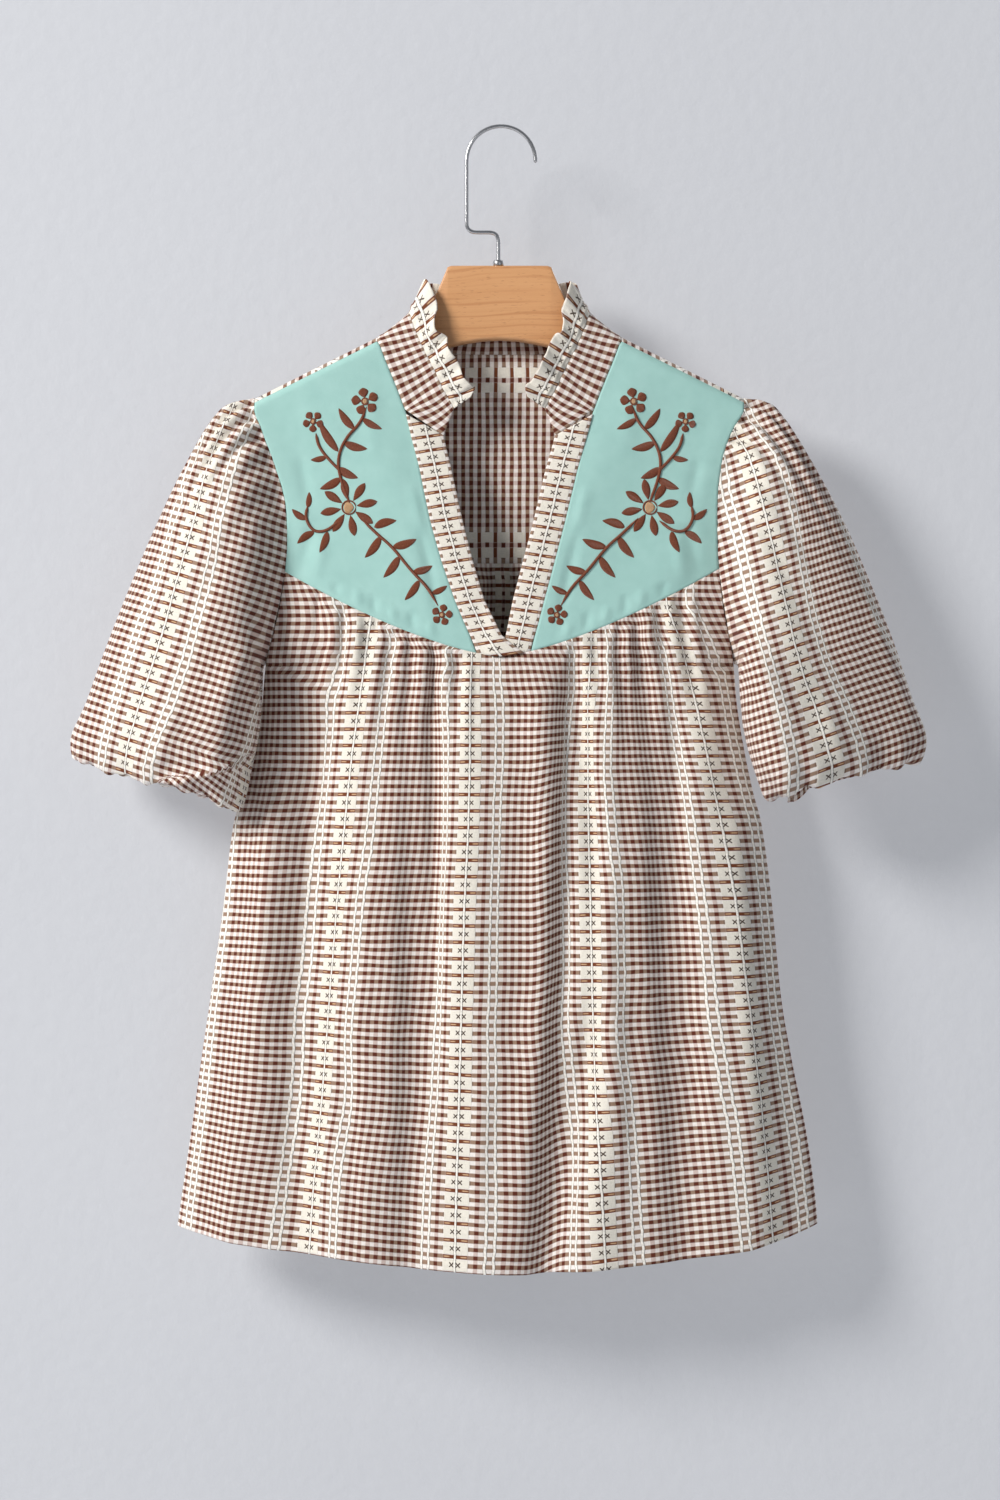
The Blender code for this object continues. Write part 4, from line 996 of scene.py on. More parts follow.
def laid_on(point, s, t, height, down_mm, facing):
    """A body panel with small heights laid on it, flat at its seams, and its turned-up hem.

    The cloth stands out a little below the hem's row of stitches.
    """
    up_mm = (1 - np.asarray(t, float)) * BODY_LENGTH
    groove = -0.5 * np.exp(-((up_mm - HEM_TURN) ** 2))
    swell = 0.45 * smooth((HEM_TURN - up_mm) / 2.0)
    inside = smooth((1 - np.abs(s)) / 0.12) * smooth(down_mm / 2.5)
    point[..., 1] -= facing * (height * inside + groove + swell)
    return point


HEM_TURN = 8.0
BODY_LENGTH = 470.0


def yoke_fine(side, s, t):
    """A front yoke with its dimples, flat along all four seams."""
    point = yoke_point(side, s, t)
    x = -np.abs(point[..., 0])
    z = point[..., 2]
    edge = smooth(s / 0.08) * smooth((1 - s) / 0.08) * smooth(t / 0.08) * smooth((1 - t) / 0.05)
    height = creases(YOKE_CREASES, x, z) + 0.5 * ripple(x * 0.7, z * 0.8)
    point[..., 1] -= height * edge
    return point


def sleeve_fine(side, turn, t):
    """The sleeve with its folds, its creases and the wavering of loose cloth."""
    turn, t = np.broadcast_arrays(np.asarray(turn, float), np.asarray(t, float))
    out = sleeve_out(side, turn, t)
    point = sleeve_base(side, turn, t) + out * sleeve_height(side, turn, t)[..., None]
    wrapped = (turn + 1.2) % (2 * math.pi) - 1.2
    height = creases(SLEEVE_CREASES, wrapped, t)
    long = smooth((t - 0.14) / 0.3) * (1 - smooth((t - 0.80) / 0.16))
    point[..., 1] += 7.5 * long * np.exp(-(((wrapped - 1.0) / 0.5) ** 2))
    point[..., 1] -= 12.0 * long * np.exp(-(((wrapped - 2.38) / 0.45) ** 2))
    cap = np.exp(-(((wrapped - 0.4) / 1.1) ** 2))
    start = smooth(t / 0.012) * (1 - smooth((t - 0.02) / 0.10))
    height = height + 0.8 * cap * start * np.sin(wrapped * 46 + 1.6 * np.sin(wrapped * 9))
    if side < 0:
        height = height + creases(TUCK, wrapped, t)
        notch = np.exp(-(((wrapped - 1.70) / 0.13) ** 2)) * smooth((t - 0.78) / 0.14)
        point[..., 2] += 6.5 * notch
    low = smooth((t - 0.80) / 0.14)
    height = height + 1.0 * low * np.sin(31 * turn + 1.5 * np.sin(5 * turn))
    height = height + 0.9 * ripple(turn * 60, t * 300) * smooth(t / 0.1)
    return point + out * (height * smooth((1 - t) / 0.04))[..., None]


# Outer end of the slanted seam between the stand and a neck band.
SLANT_X = 70.7
SLANT_Z = -213.9


def slanted_seam(x):
    """Height of the slanted seam where the stand meets the top of a neck band."""
    return SLANT_Z - (SLANT_X - np.abs(x)) * 0.677


def stand_fine(u, w):
    """The stand; its lower front edges follow the slanted seams of the bands."""
    u, w = np.broadcast_arrays(np.asarray(u, float), np.asarray(w, float))
    point = stand_point(u, w)
    lower, upper = collar_rows(u)[:2]
    foot = stand_point(u, np.zeros(w.shape))
    near = (np.abs(foot[..., 0]) < SLANT_X) & (np.abs(u) > 0.75)
    rise = np.where(near, slanted_seam(foot[..., 0]) - foot[..., 2], 0.0)
    point[..., 2] += rise * (1 - w) ** 1.5
    bulge = 0.9 * np.sin(math.pi * w) * smooth((1 - np.abs(u)) / 0.05)
    out = unit(np.cross(collar_run(u, 0), upper - lower))
    uneven = 0.35 * np.sin(31 * u + 1.3) * np.sin(math.pi * w) + 0.25 * np.sin(67 * u) * w
    seam = -0.45 * np.exp(-(((w - 0.07) / 0.035) ** 2)) * smooth((1 - np.abs(u)) / 0.02)
    return point + out * (bulge * 0.4 + uneven + seam)[..., None]


def band_fine(side, s, t):
    """A neck band; its top runs up to the slanted seam of the stand."""
    s, t = np.broadcast_arrays(np.asarray(s, float), np.asarray(t, float))
    point = band_point(side, s, t)
    top = band_point(side, s, np.zeros(t.shape))
    reach = 1 - smooth(t / 0.2)
    point[..., 2] += (slanted_seam(top[..., 0]) - 0.5 - top[..., 2]) * reach
    point[..., 0] += side * 4.4 * (1 - s) * reach
    point[..., 1] -= 0.5 * np.sin(math.pi * s) + 0.3 * np.sin(t * 29 + side) * np.sin(math.pi * s)
    return point


def ruffle_fine(u, w):
    """The ruffle with uneven waves, small ones between the large, and a wandering free edge."""
    u, w = np.broadcast_arrays(np.asarray(u, float), np.asarray(w, float))
    ends = smooth((1 - np.abs(u)) / 0.06)
    shifted = u + ends * (0.009 * np.sin(23 * u + 0.6) + 0.006 * np.sin(57 * u) + 0.004 * np.sin(91 * u + 2))
    upper, free = collar_rows(shifted)[1:]
    rise = free - upper
    wave = np.sin(2 * math.pi * RUFFLE_WAVES * round_share(shifted))
    even = (0.35 + 2.9 * w**1.2) * wave * (1 - 0.88 * smooth(w / 0.5))
    base = upper + rise * (0.016 + 0.984 * w)[..., None]
    base = base + unit(np.cross(collar_run(shifted, 1), rise)) * even[..., None]
    out = unit(np.cross(collar_run(u, 1), rise))
    share = round_share(u)
    small = np.sin(2 * math.pi * RUFFLE_WAVES * 2.37 * share + 1.1 * np.sin(40 * share))
    height = 0.25 * small * w * np.sin(math.pi * np.clip(w * 0.8 + 0.1, 0, 1))
    large = 2.7 * np.sin(2 * math.pi * 15 * share + 1.7 * np.sin(11 * share)) + 1.3 * np.sin(61 * share)
    height = height + large * ends * w**1.3
    gather = -0.9 * np.exp(-(((w - 0.20) / 0.05) ** 2))
    reach = 0.16 * w + (0.10 * np.sin(57 * share + 1.2) + 0.05 * np.sin(103 * share)) * w**2
    corner = -0.16 * (1 - smooth((1 - np.abs(u)) / 0.03)) * w**2
    return base + out * (height + gather)[..., None] + rise * (reach + corner)[..., None]


def cuff_fine(side, turn, t):
    """Elastic gathers across the cuff and a wavier frill."""
    point = cuff_point(side, turn, t)
    middle = sleeve_base(side, np.array([0.0, math.pi]), 1.0).mean(axis=0)
    out = unit(point - middle) * np.array([1.0, 1.0, 0.2])
    t = np.broadcast_to(np.asarray(t, float), point.shape[:-1])
    band = np.exp(-(((t - 0.42) / 0.10) ** 2))
    height = 0.5 * np.sin(CUFF_WAVES * 3 * turn + 0.6) * smooth((1 - t) / 0.2) - 0.6 * band
    body_side = smooth((np.cos(turn) * -1 - 0.72) / 0.2)
    drawn_up = 9.0 * t * (1 - (0.8 * body_side if side > 0 else 0.0))
    point = point + out * height[..., None]
    point[..., 2] += drawn_up
    return point


# ---- Woven rows and columns: where the chart lies on each piece ----------------------------

CHECK = 6.1
REPEAT = 20.5

# Middle lines of the four dobby stripes on the front, and the column number at both edges.
STRIPES = table(
    "z first second third fourth left right",
    (-336, -92.0, -18.0, 70.0, 122.0, -31.0, 50.0),
    (-365, -95.0, -19.5, 69.5, 126.0, -32.5, 49.0),
    (-388, -98.6, -20.3, 68.6, 135.4, -33.5, 48.0),
    (-433, -104.6, -22.1, 66.4, 146.6, -35.0, 47.0),
    (-478, -110.6, -22.1, 66.4, 156.4, -36.2, 46.6),
    (-530, -115.9, -23.2, 66.4, 166.9, -37.2, 46.4),
    (-583, -121.1, -25.9, 67.9, 176.6, -37.6, 46.5),
    (-658, -127.1, -28.1, 69.4, 186.4, -38.0, 46.7),
    (-733, -132.4, -30.0, 72.0, 195.4, -38.8, 47.0),
    (-793, -138.4, -31.9, 75.4, 201.0, -39.3, 47.2),
    (-860, -143.0, -33.4, 79.0, 206.0, -39.6, 47.4),
)
STRIPE_COLUMNS = (-REPEAT, 0.0, REPEAT, 2 * REPEAT)

# Where each sleeve's cords show at a height: the outer pair, the stripe and the inner pair of
# its stripe, and the nearest pair of the next stripe.
LEFT_CORDS = table(
    "z outer stripe inner next",
    (-160, -196.0, -178.0, -160.0, -120.0),
    (-219, -219.0, -204.5, -186.0, -150.0),
    (-245, -228.5, -215.5, -197.5, -164.0),
    (-271, -237.0, -222.0, -203.5, -163.0),
    (-298, -244.5, -227.5, -210.0, -161.0),
    (-324, -250.0, -235.0, -213.0, -161.0),
    (-354, -258.0, -243.0, -219.5, -162.5),
    (-373, -266.5, -247.5, -224.5, -166.0),
    (-400, -276.0, -255.5, -231.0, -172.0),
    (-437, -287.0, -267.5, -243.5, -180.5),
    (-466, -294.5, -276.0, -256.5, -187.5),
    (-484, -297.5, -279.0, -261.5, -195.0),
)
RIGHT_CORDS = table(
    "z outer stripe inner next",
    (-160, 160.0, 136.0, 112.0, 196.0),
    (-230, 195.0, 176.5, 156.0, 232.0),
    (-247, 208.0, 186.0, 166.5, 241.0),
    (-260, 213.0, 190.5, 168.5, 247.0),
    (-274, 216.5, 193.5, 170.0, 251.0),
    (-293, 221.0, 198.0, 174.5, 255.5),
    (-313, 223.5, 202.5, 179.5, 262.0),
    (-328, 225.5, 205.5, 182.5, 267.5),
    (-355, 230.5, 211.0, 187.0, 277.0),
    (-373, 234.0, 215.0, 191.0, 283.0),
    (-388, 238.0, 217.5, 194.0, 291.0),
    (-404, 242.5, 222.0, 198.5, 299.0),
    (-421, 250.0, 226.5, 203.0, 307.0),
    (-434, 256.0, 232.0, 206.5, 314.0),
    (-448, 261.5, 236.5, 210.0, 320.0),
    (-463, 267.5, 241.0, 213.5, 326.0),
    (-482, 272.0, 246.5, 217.0, 330.0),
)
CORD_COLUMN = 4.09
CORD_COLUMNS = {"outer": -CORD_COLUMN, "stripe": 0.0, "inner": CORD_COLUMN}
NEXT_COLUMN = REPEAT - CORD_COLUMN

# Shares of the way down a sleeve between which its cords are followed.
CAP_END = 0.14
CUFF_START = 0.93


def row_lengths(points):
    """Length along each row of a grid of points."""
    steps = np.linalg.norm(np.diff(points, axis=1), axis=2)
    return np.concatenate([np.zeros((len(points), 1)), np.cumsum(steps, axis=1)], axis=1)


def front_weave(points):
    """Column and row numbers of the weave over the front's grid, drawn in at its folds."""
    lengths = row_lengths(points * np.array([1.0, 2.1, 1.0]))
    columns = np.zeros(lengths.shape)
    for i, row in enumerate(points):
        x = row[:, 0]
        z = row[:, 2]
        marks = [0.0]
        numbers = [float(at(STRIPES, "z", "left", z[0]))]
        for name, number in zip(("first", "second", "third", "fourth"), STRIPE_COLUMNS):
            ahead = x - at(STRIPES, "z", name, z)
            cross = int(np.argmax(ahead > 0))
            if cross == 0:
                continue
            share = -ahead[cross - 1] / (ahead[cross] - ahead[cross - 1])
            marks.append(lengths[i, cross - 1] + share * (lengths[i, cross] - lengths[i, cross - 1]))
            numbers.append(number)
        marks.append(lengths[i, -1])
        numbers.append(float(at(STRIPES, "z", "right", z[-1])))
        columns[i] = np.interp(lengths[i], marks, numbers)
    return np.stack([columns, hem_rows(points)], axis=-1)


# Level the hem's sag is measured from, and how many columns the back has from side to side.
HEM_LEVEL = -856.0
BACK_COLUMNS = 92.0


def hem_rows(points):
    """Row numbers that run level above and follow the lower edge near the hem."""
    x = points[..., 0]
    z = points[..., 2]
    sag = np.interp(x, HEM["x"], HEM["z"]) - HEM_LEVEL
    step = 7.6 * smooth((x - 22) / 30) * smooth((-410 - z) / 120)
    level = z - sag * smooth((-560 - z) / 300) - step
    return level / CHECK


def back_weave(points):
    """The back: even columns from side to side, gathered at its seam."""
    lengths = row_lengths(points)
    share = lengths / lengths[:, -1:]
    mirrored = points * np.array([-1.0, 1.0, 1.0])
    return np.stack([(share - 0.5) * BACK_COLUMNS, hem_rows(mirrored)], axis=-1)


# Unrolled height of a dobby stripe's middle on the back yoke.
YOKE_STRIPE_Z = -202.1


def yoke_weave(points):
    """The back yoke, cut across: its stripe lies level."""
    x = points[..., 0]
    z = points[..., 2]
    ridge = ridge_z(x)
    drop = np.clip((ridge - z) / RIDGE, 0.0, 1.0)
    over = RIDGE * (np.arccos(1 - drop) - drop)
    front = points[..., 1] < 0
    behind = z - over * 0.9 - 8.4 * smooth((ridge - z) / 55.0)
    unrolled = np.where(front, ridge + (RIDGE * math.pi / 2 - over) - RIDGE, behind)
    return np.stack([(unrolled - YOKE_STRIPE_Z) / CHECK, x / CHECK], axis=-1)


BAND_ROW = 5.4
BAND_ROWS = {-1: -207.6, 1: -203.6}


def strip_weave(points, start, end, gather=1.0, lean=0.0):
    """A strip whose columns, from start to end, run along it.

    gather is how much closer its rows lie, and lean how many rows its halves slant by.
    """
    along = running(points[len(points) // 2]) * gather / CHECK
    across = np.linspace(start, end, len(points))
    grid_a, grid_b = np.meshgrid(across, along, indexing="ij")
    halves = np.clip(-3 * np.linspace(-1, 1, len(along)), -1, 1)
    grid_b = grid_b + lean * np.linspace(0, 1, len(points))[:, None] * halves
    return np.stack([grid_a, grid_b], axis=-1)


def band_weave(points, side):
    """A neck band: one stripe along its middle, its bars rising a little towards the V."""
    across = np.linspace(-1.95, 1.95, points.shape[1])
    level = points[..., 2] + 0.15 * side * points[..., 0]
    rows = (BAND_ROWS[side] - level) / BAND_ROW
    return np.stack([np.broadcast_to(across, rows.shape), rows], axis=-1)


def cord_turns(side, name, points, turns, rows):
    """Turn at which a cord runs, for every row of the sleeve's grid."""
    cords = LEFT_CORDS if side < 0 else RIGHT_CORDS
    facing = (turns > 0.1) & (turns < 3.05)
    seen_rows = []
    seen_turns = []
    for i, t in enumerate(rows):
        if t < CAP_END or t > CUFF_START:
            continue
        across = points[i, facing, 0]
        ahead = -side * (across - at(cords, "z", name, points[i, facing, 2]))
        passed = np.nonzero((ahead[:-1] <= 0) & (ahead[1:] > 0))[0]
        if len(passed) == 0:
            continue
        j = passed[0]
        share = -ahead[j] / (ahead[j + 1] - ahead[j])
        seen_rows.append(t)
        seen_turns.append(turns[facing][j] + share * (turns[facing][j + 1] - turns[facing][j]))
    if len(seen_rows) < 8:
        return None
    return np.interp(rows, seen_rows, seen_turns)


def cap_columns(side, points):
    """Column numbers by the cords' places from side to side, for the sleeve's cap."""
    cords = LEFT_CORDS if side < 0 else RIGHT_CORDS

    def number(x, z):
        outer, stripe, inner = (-side * at(cords, "z", name, z) for name in ("outer", "stripe", "inner"))
        x = -side * x
        across = (x - stripe) / np.where(x < stripe, stripe - outer, inner - stripe)
        return np.where(x > inner, CORD_COLUMN + (x - inner) / CHECK, across * CORD_COLUMN)

    x = points[..., 0]
    z = points[..., 2]
    edge = points[:, 0]
    order = np.argsort(edge[:, 2])
    top = number(np.interp(z, edge[order, 2], edge[order, 0]), z)
    front = number(x, z)
    return front, 2 * top - front


def sleeve_weave(side, points, turns, rows):
    """Columns round the sleeve through its cords, rows square to the stripe's general run."""
    cords = LEFT_CORDS if side < 0 else RIGHT_CORDS
    cap_front, cap_back = cap_columns(side, points)
    marks = {}
    for name, number in CORD_COLUMNS.items():
        marks[number] = cord_turns(side, name, points, turns, rows)
    beyond = NEXT_COLUMN if side < 0 else -NEXT_COLUMN
    marks[beyond] = cord_turns(side, "next", points, turns, rows)
    numbers = sorted(number for number, line in marks.items() if line is not None)
    lengths = row_lengths(points)
    columns = np.zeros(lengths.shape)
    for i in range(len(rows)):
        along = lengths[i]
        places = np.array([np.interp(marks[number][i], turns, along) for number in numbers])
        between = np.interp(along, places, numbers)
        before = numbers[0] - (places[0] - along) / CHECK
        after = numbers[-1] + (along - places[-1]) / CHECK
        behind = numbers[0] - (places[0] + along[-1] - along) / CHECK
        column = np.where(along < places[0], before, np.where(along > places[-1], after, between))
        low = smooth((rows[i] - CAP_END) / 0.22)
        column = cap_front[i] + (column - cap_front[i]) * low
        behind = cap_back[i] + (behind - cap_back[i]) * low
        columns[i] = np.where(turns > math.pi, behind, column)
    way = np.array([cords["stripe"][-1] - cords["stripe"][0], cords["z"][-1] - cords["z"][0]])
    way = way / math.hypot(way[0], way[1])
    run = (points[..., 0] - cords["stripe"][0]) * way[0] + (points[..., 2] - cords["z"][0]) * way[1]
    numbers = -run / (CHECK * 0.955)
    if side < 0:
        x = points[..., 0]
        below = at(TUCK_LINE, "x", "z", x) - points[..., 2]
        facing = smooth((x + 256) / 4) * smooth((-180 - x) / 6) * (turns < math.pi)
        columns = columns + 0.12 * below.clip(0) * facing
        numbers = numbers + (0.075 * (x + 226)) * smooth((below + 0.3) / 1.2) * facing
    return np.stack([columns, numbers], axis=-1)


# ---- Meshes --------------------------------------------------------------------------------


def make_object(name, points, faces, material, corner_uv=None, sharp=None):
    """A mesh object from points in millimetres, smooth shaded, with its weave coordinates."""
    mesh = bpy.data.meshes.new(name)
    mesh.from_pydata(np.asarray(points) * MM, [], faces)
    mesh.materials.append(material)
    if corner_uv is not None:
        layer = mesh.uv_layers.new(name="weave")
        layer.data.foreach_set("uv", np.asarray(corner_uv, np.float32).ravel())
    mesh.validate()
    mesh.shade_smooth()
    if sharp is not None:
        mesh.set_sharp_from_angle(angle=math.radians(sharp))
    item = bpy.data.objects.new(name, mesh)
    bpy.context.scene.collection.objects.link(item)
    return item


def cloth_shell(name, surface, u, v, weave, wall, material, closed, heart):
    """A thin wall over a surface with rounded rims; weave is one coordinate pair a grid point.

    The side towards the heart, or towards the axis of a closed tube, shows the cloth's wrong side.
    """
    outer, inner = wall_grid(surface, u, v, wall, closed)
    rows, marks = outer.shape[:2]
    columns = marks - 1 if closed else marks
    middle = (outer + inner) / 2
    centre = middle.mean(axis=1, keepdims=True) if closed else np.array(heart)
    inside_first = float(((outer - inner) * unit(middle - centre)).sum(axis=-1).mean()) < 0
    rims = []
    rim_rows = []
    for row, before in ((0, 1), (rows - 1, rows - 2)):
        away = unit(middle[row] - middle[before])
        rims.append((middle[row] + away * wall * 0.34)[:columns])
        rim_rows.append(row)
    points = [outer[:, :columns].reshape(-1, 3), inner[:, :columns].reshape(-1, 3), *rims]
    count = rows * columns
    if not closed:
        for column, before in ((0, 1), (columns - 1, columns - 2)):
            away = unit(middle[:, column] - middle[:, before])
            points.append(middle[:, column] + away * wall * 0.34)
    points = np.concatenate(points)
    span = columns if closed else columns - 1
    row_at, column_at = np.meshgrid(np.arange(rows - 1), np.arange(span), indexing="ij")
    a = row_at * columns + column_at
    b = row_at * columns + (column_at + 1) % columns
    c = b + columns
    d = a + columns
    uv_a = row_at * marks + column_at
    quads = np.stack([a, b, c, d], axis=-1).reshape(-1, 4)
    uv_quads = np.stack([uv_a, uv_a + 1, uv_a + 1 + marks, uv_a + marks], axis=-1).reshape(-1, 4)
    faces = [quads, quads[:, ::-1] + count]
    corners = [uv_quads, uv_quads[:, ::-1]]
    rim_start = 2 * count
    across = np.arange(span)
    after = (across + 1) % columns
    for i, row in enumerate(rim_rows):
        rim = rim_start + i * columns
        edge = row * columns
        top = np.stack([edge + across, rim + across, rim + after, edge + after], axis=-1)
        low = np.stack([rim + across, edge + count + across, edge + count + after, rim + after], axis=-1)
        uv_across = row * marks + across
        uv_pair = np.stack([uv_across, uv_across, uv_across + 1, uv_across + 1], axis=-1)
        if i == 1:
            top = top[:, ::-1]
            low = low[:, ::-1]
            uv_pair = uv_pair[:, ::-1]
        faces += [top, low]
        corners += [uv_pair, uv_pair]
    if not closed:
        down = np.arange(rows - 1)
        for i, column in enumerate((0, columns - 1)):
            rim = rim_start + 2 * columns + i * rows
            edge = down * columns + column
            top = np.stack([edge, edge + columns, rim + down + 1, rim + down], axis=-1)
            low = np.stack([rim + down, rim + down + 1, edge + columns + count, edge + count], axis=-1)
            uv_edge = down * marks + column
            uv_pair = np.stack([uv_edge, uv_edge + marks, uv_edge + marks, uv_edge], axis=-1)
            if i == 1:
                top = top[:, ::-1]
                low = low[:, ::-1]
                uv_pair = uv_pair[:, ::-1]
            faces += [top, low]
            corners += [uv_pair, uv_pair]
    faces = np.concatenate(faces)
    corners = np.concatenate(corners)
    flat = weave.reshape(-1, 2)
    corner_uv = flat[corners.ravel()]
    start = 0 if inside_first else len(quads) * 4
    corner_uv[start : start + len(quads) * 4, 0] += WRONG_SIDE
    return make_object(name, points, faces.tolist(), material, corner_uv)


def grid_points(surface, u, v):
    grid_v, grid_u = np.meshgrid(v, u, indexing="ij")
    return surface(grid_u, grid_v)


def spaced(marks, count):
    """count positions spread over rising marks, close where the marks are close."""
    return np.interp(np.linspace(0, len(marks) - 1, count), np.arange(len(marks)), marks)


# ---- Materials -----------------------------------------------------------------------------


def colour(red, green, blue):
    """A screen colour, 0 to 255, as the linear colour that shaders take."""
    values = np.array([red, green, blue]) / 255
    linear = np.where(values <= 0.04045, values / 12.92, ((values + 0.055) / 1.055) ** 2.4)
    return (*[float(value) for value in linear], 1.0)


class Field:
    """A number in a node tree; arithmetic on it adds the nodes."""

    def __init__(self, tree, socket):
        self.tree = tree
        self.socket = socket

    def calc(self, operation, *others, clamp=False):
        node = self.tree.nodes.new("ShaderNodeMath")
        node.operation = operation
        node.use_clamp = clamp
        for i, value in enumerate((self, *others)):
            if isinstance(value, Field):
                self.tree.links.new(value.socket, node.inputs[i])
            else:
                node.inputs[i].default_value = value
        return Field(self.tree, node.outputs[0])

    def __add__(self, other):
        return self.calc("ADD", other)

    def __sub__(self, other):
        return self.calc("SUBTRACT", other)

    def __mul__(self, other):
        return self.calc("MULTIPLY", other)

    def size(self):
        return self.calc("ABSOLUTE")

    def whole(self):
        """Distance to the nearest whole number, signed, from -0.5 to 0.5."""
        return (self + 0.5).calc("FRACT") - 0.5

    def within(self, half, edge=0.12):
        """1 where the size is under half, 0 beyond, soft over the edge."""
        return self.size().calc("MULTIPLY_ADD", -1 / edge, half / edge + 0.5, clamp=True)

    def over(self, limit, edge=0.08):
        return self.calc("MULTIPLY_ADD", 1 / edge, 0.5 - limit / edge, clamp=True)

    def wave(self, turns):
        return (self * (2 * math.pi * turns)).calc("SINE")

    def most(self, other):
        return self.calc("MAXIMUM", other)

    def invert(self):
        return self.calc("MULTIPLY_ADD", -1.0, 1.0)


def link(tree, value, socket):
    if isinstance(value, Field):
        tree.links.new(value.socket, socket)
    else:
        socket.default_value = value


def blend(tree, first, second, share):
    """Colour that goes from first to second as share goes from 0 to 1."""
    node = tree.nodes.new("ShaderNodeMix")
    node.data_type = "RGBA"
    link(tree, share, node.inputs[0])
    link(tree, first, node.inputs[6])
    link(tree, second, node.inputs[7])
    return Field(tree, node.outputs[2])


def darken(tree, first, share):
    """Colour multiplied by a number."""
    node = tree.nodes.new("ShaderNodeMix")
    node.data_type = "RGBA"
    node.blend_type = "MULTIPLY"
    node.inputs[0].default_value = 1.0
    link(tree, first, node.inputs[6])
    tree.links.new(share.socket, node.inputs[7])
    return Field(tree, node.outputs[2])


def joined(tree, x, y, z=0.0):
    node = tree.nodes.new("ShaderNodeCombineXYZ")
    link(tree, x, node.inputs[0])
    link(tree, y, node.inputs[1])
    link(tree, z, node.inputs[2])
    return Field(tree, node.outputs[0])


def noise(tree, vector, scale, detail=2.0):
    node = tree.nodes.new("ShaderNodeTexNoise")
    tree.links.new(vector.socket, node.inputs["Vector"])
    node.inputs["Scale"].default_value = scale
    node.inputs["Detail"].default_value = detail
    return Field(tree, node.outputs[0])


def weave_coordinates(tree):
    node = tree.nodes.new("ShaderNodeUVMap")
    node.uv_map = "weave"
    split = tree.nodes.new("ShaderNodeSeparateXYZ")
    tree.links.new(node.outputs[0], split.inputs[0])
    return Field(tree, split.outputs[0]), Field(tree, split.outputs[1])


DARK = colour(92, 44, 30)
BROWN_WEFT = colour(151, 124, 105)
BROWN_WARP = colour(206, 186, 178)
WHITE = colour(235, 228, 223)
CREAM = colour(229, 223, 211)
CORD = colour(252, 247, 238)
BAR = colour(112, 62, 38)
BAR_CORE = colour(205, 168, 132)
MARK = colour(82, 68, 60)
EDGE = colour(120, 98, 84)

# Where the dobby stripe's parts lie, in columns from its middle.
BLOCK_HALF = 1.58
SIDE_WARP = 2.52
CORDS_AT = (3.58, 4.60)
FIRST_CHECK = 5.70
WRONG_SIDE = 10 * REPEAT


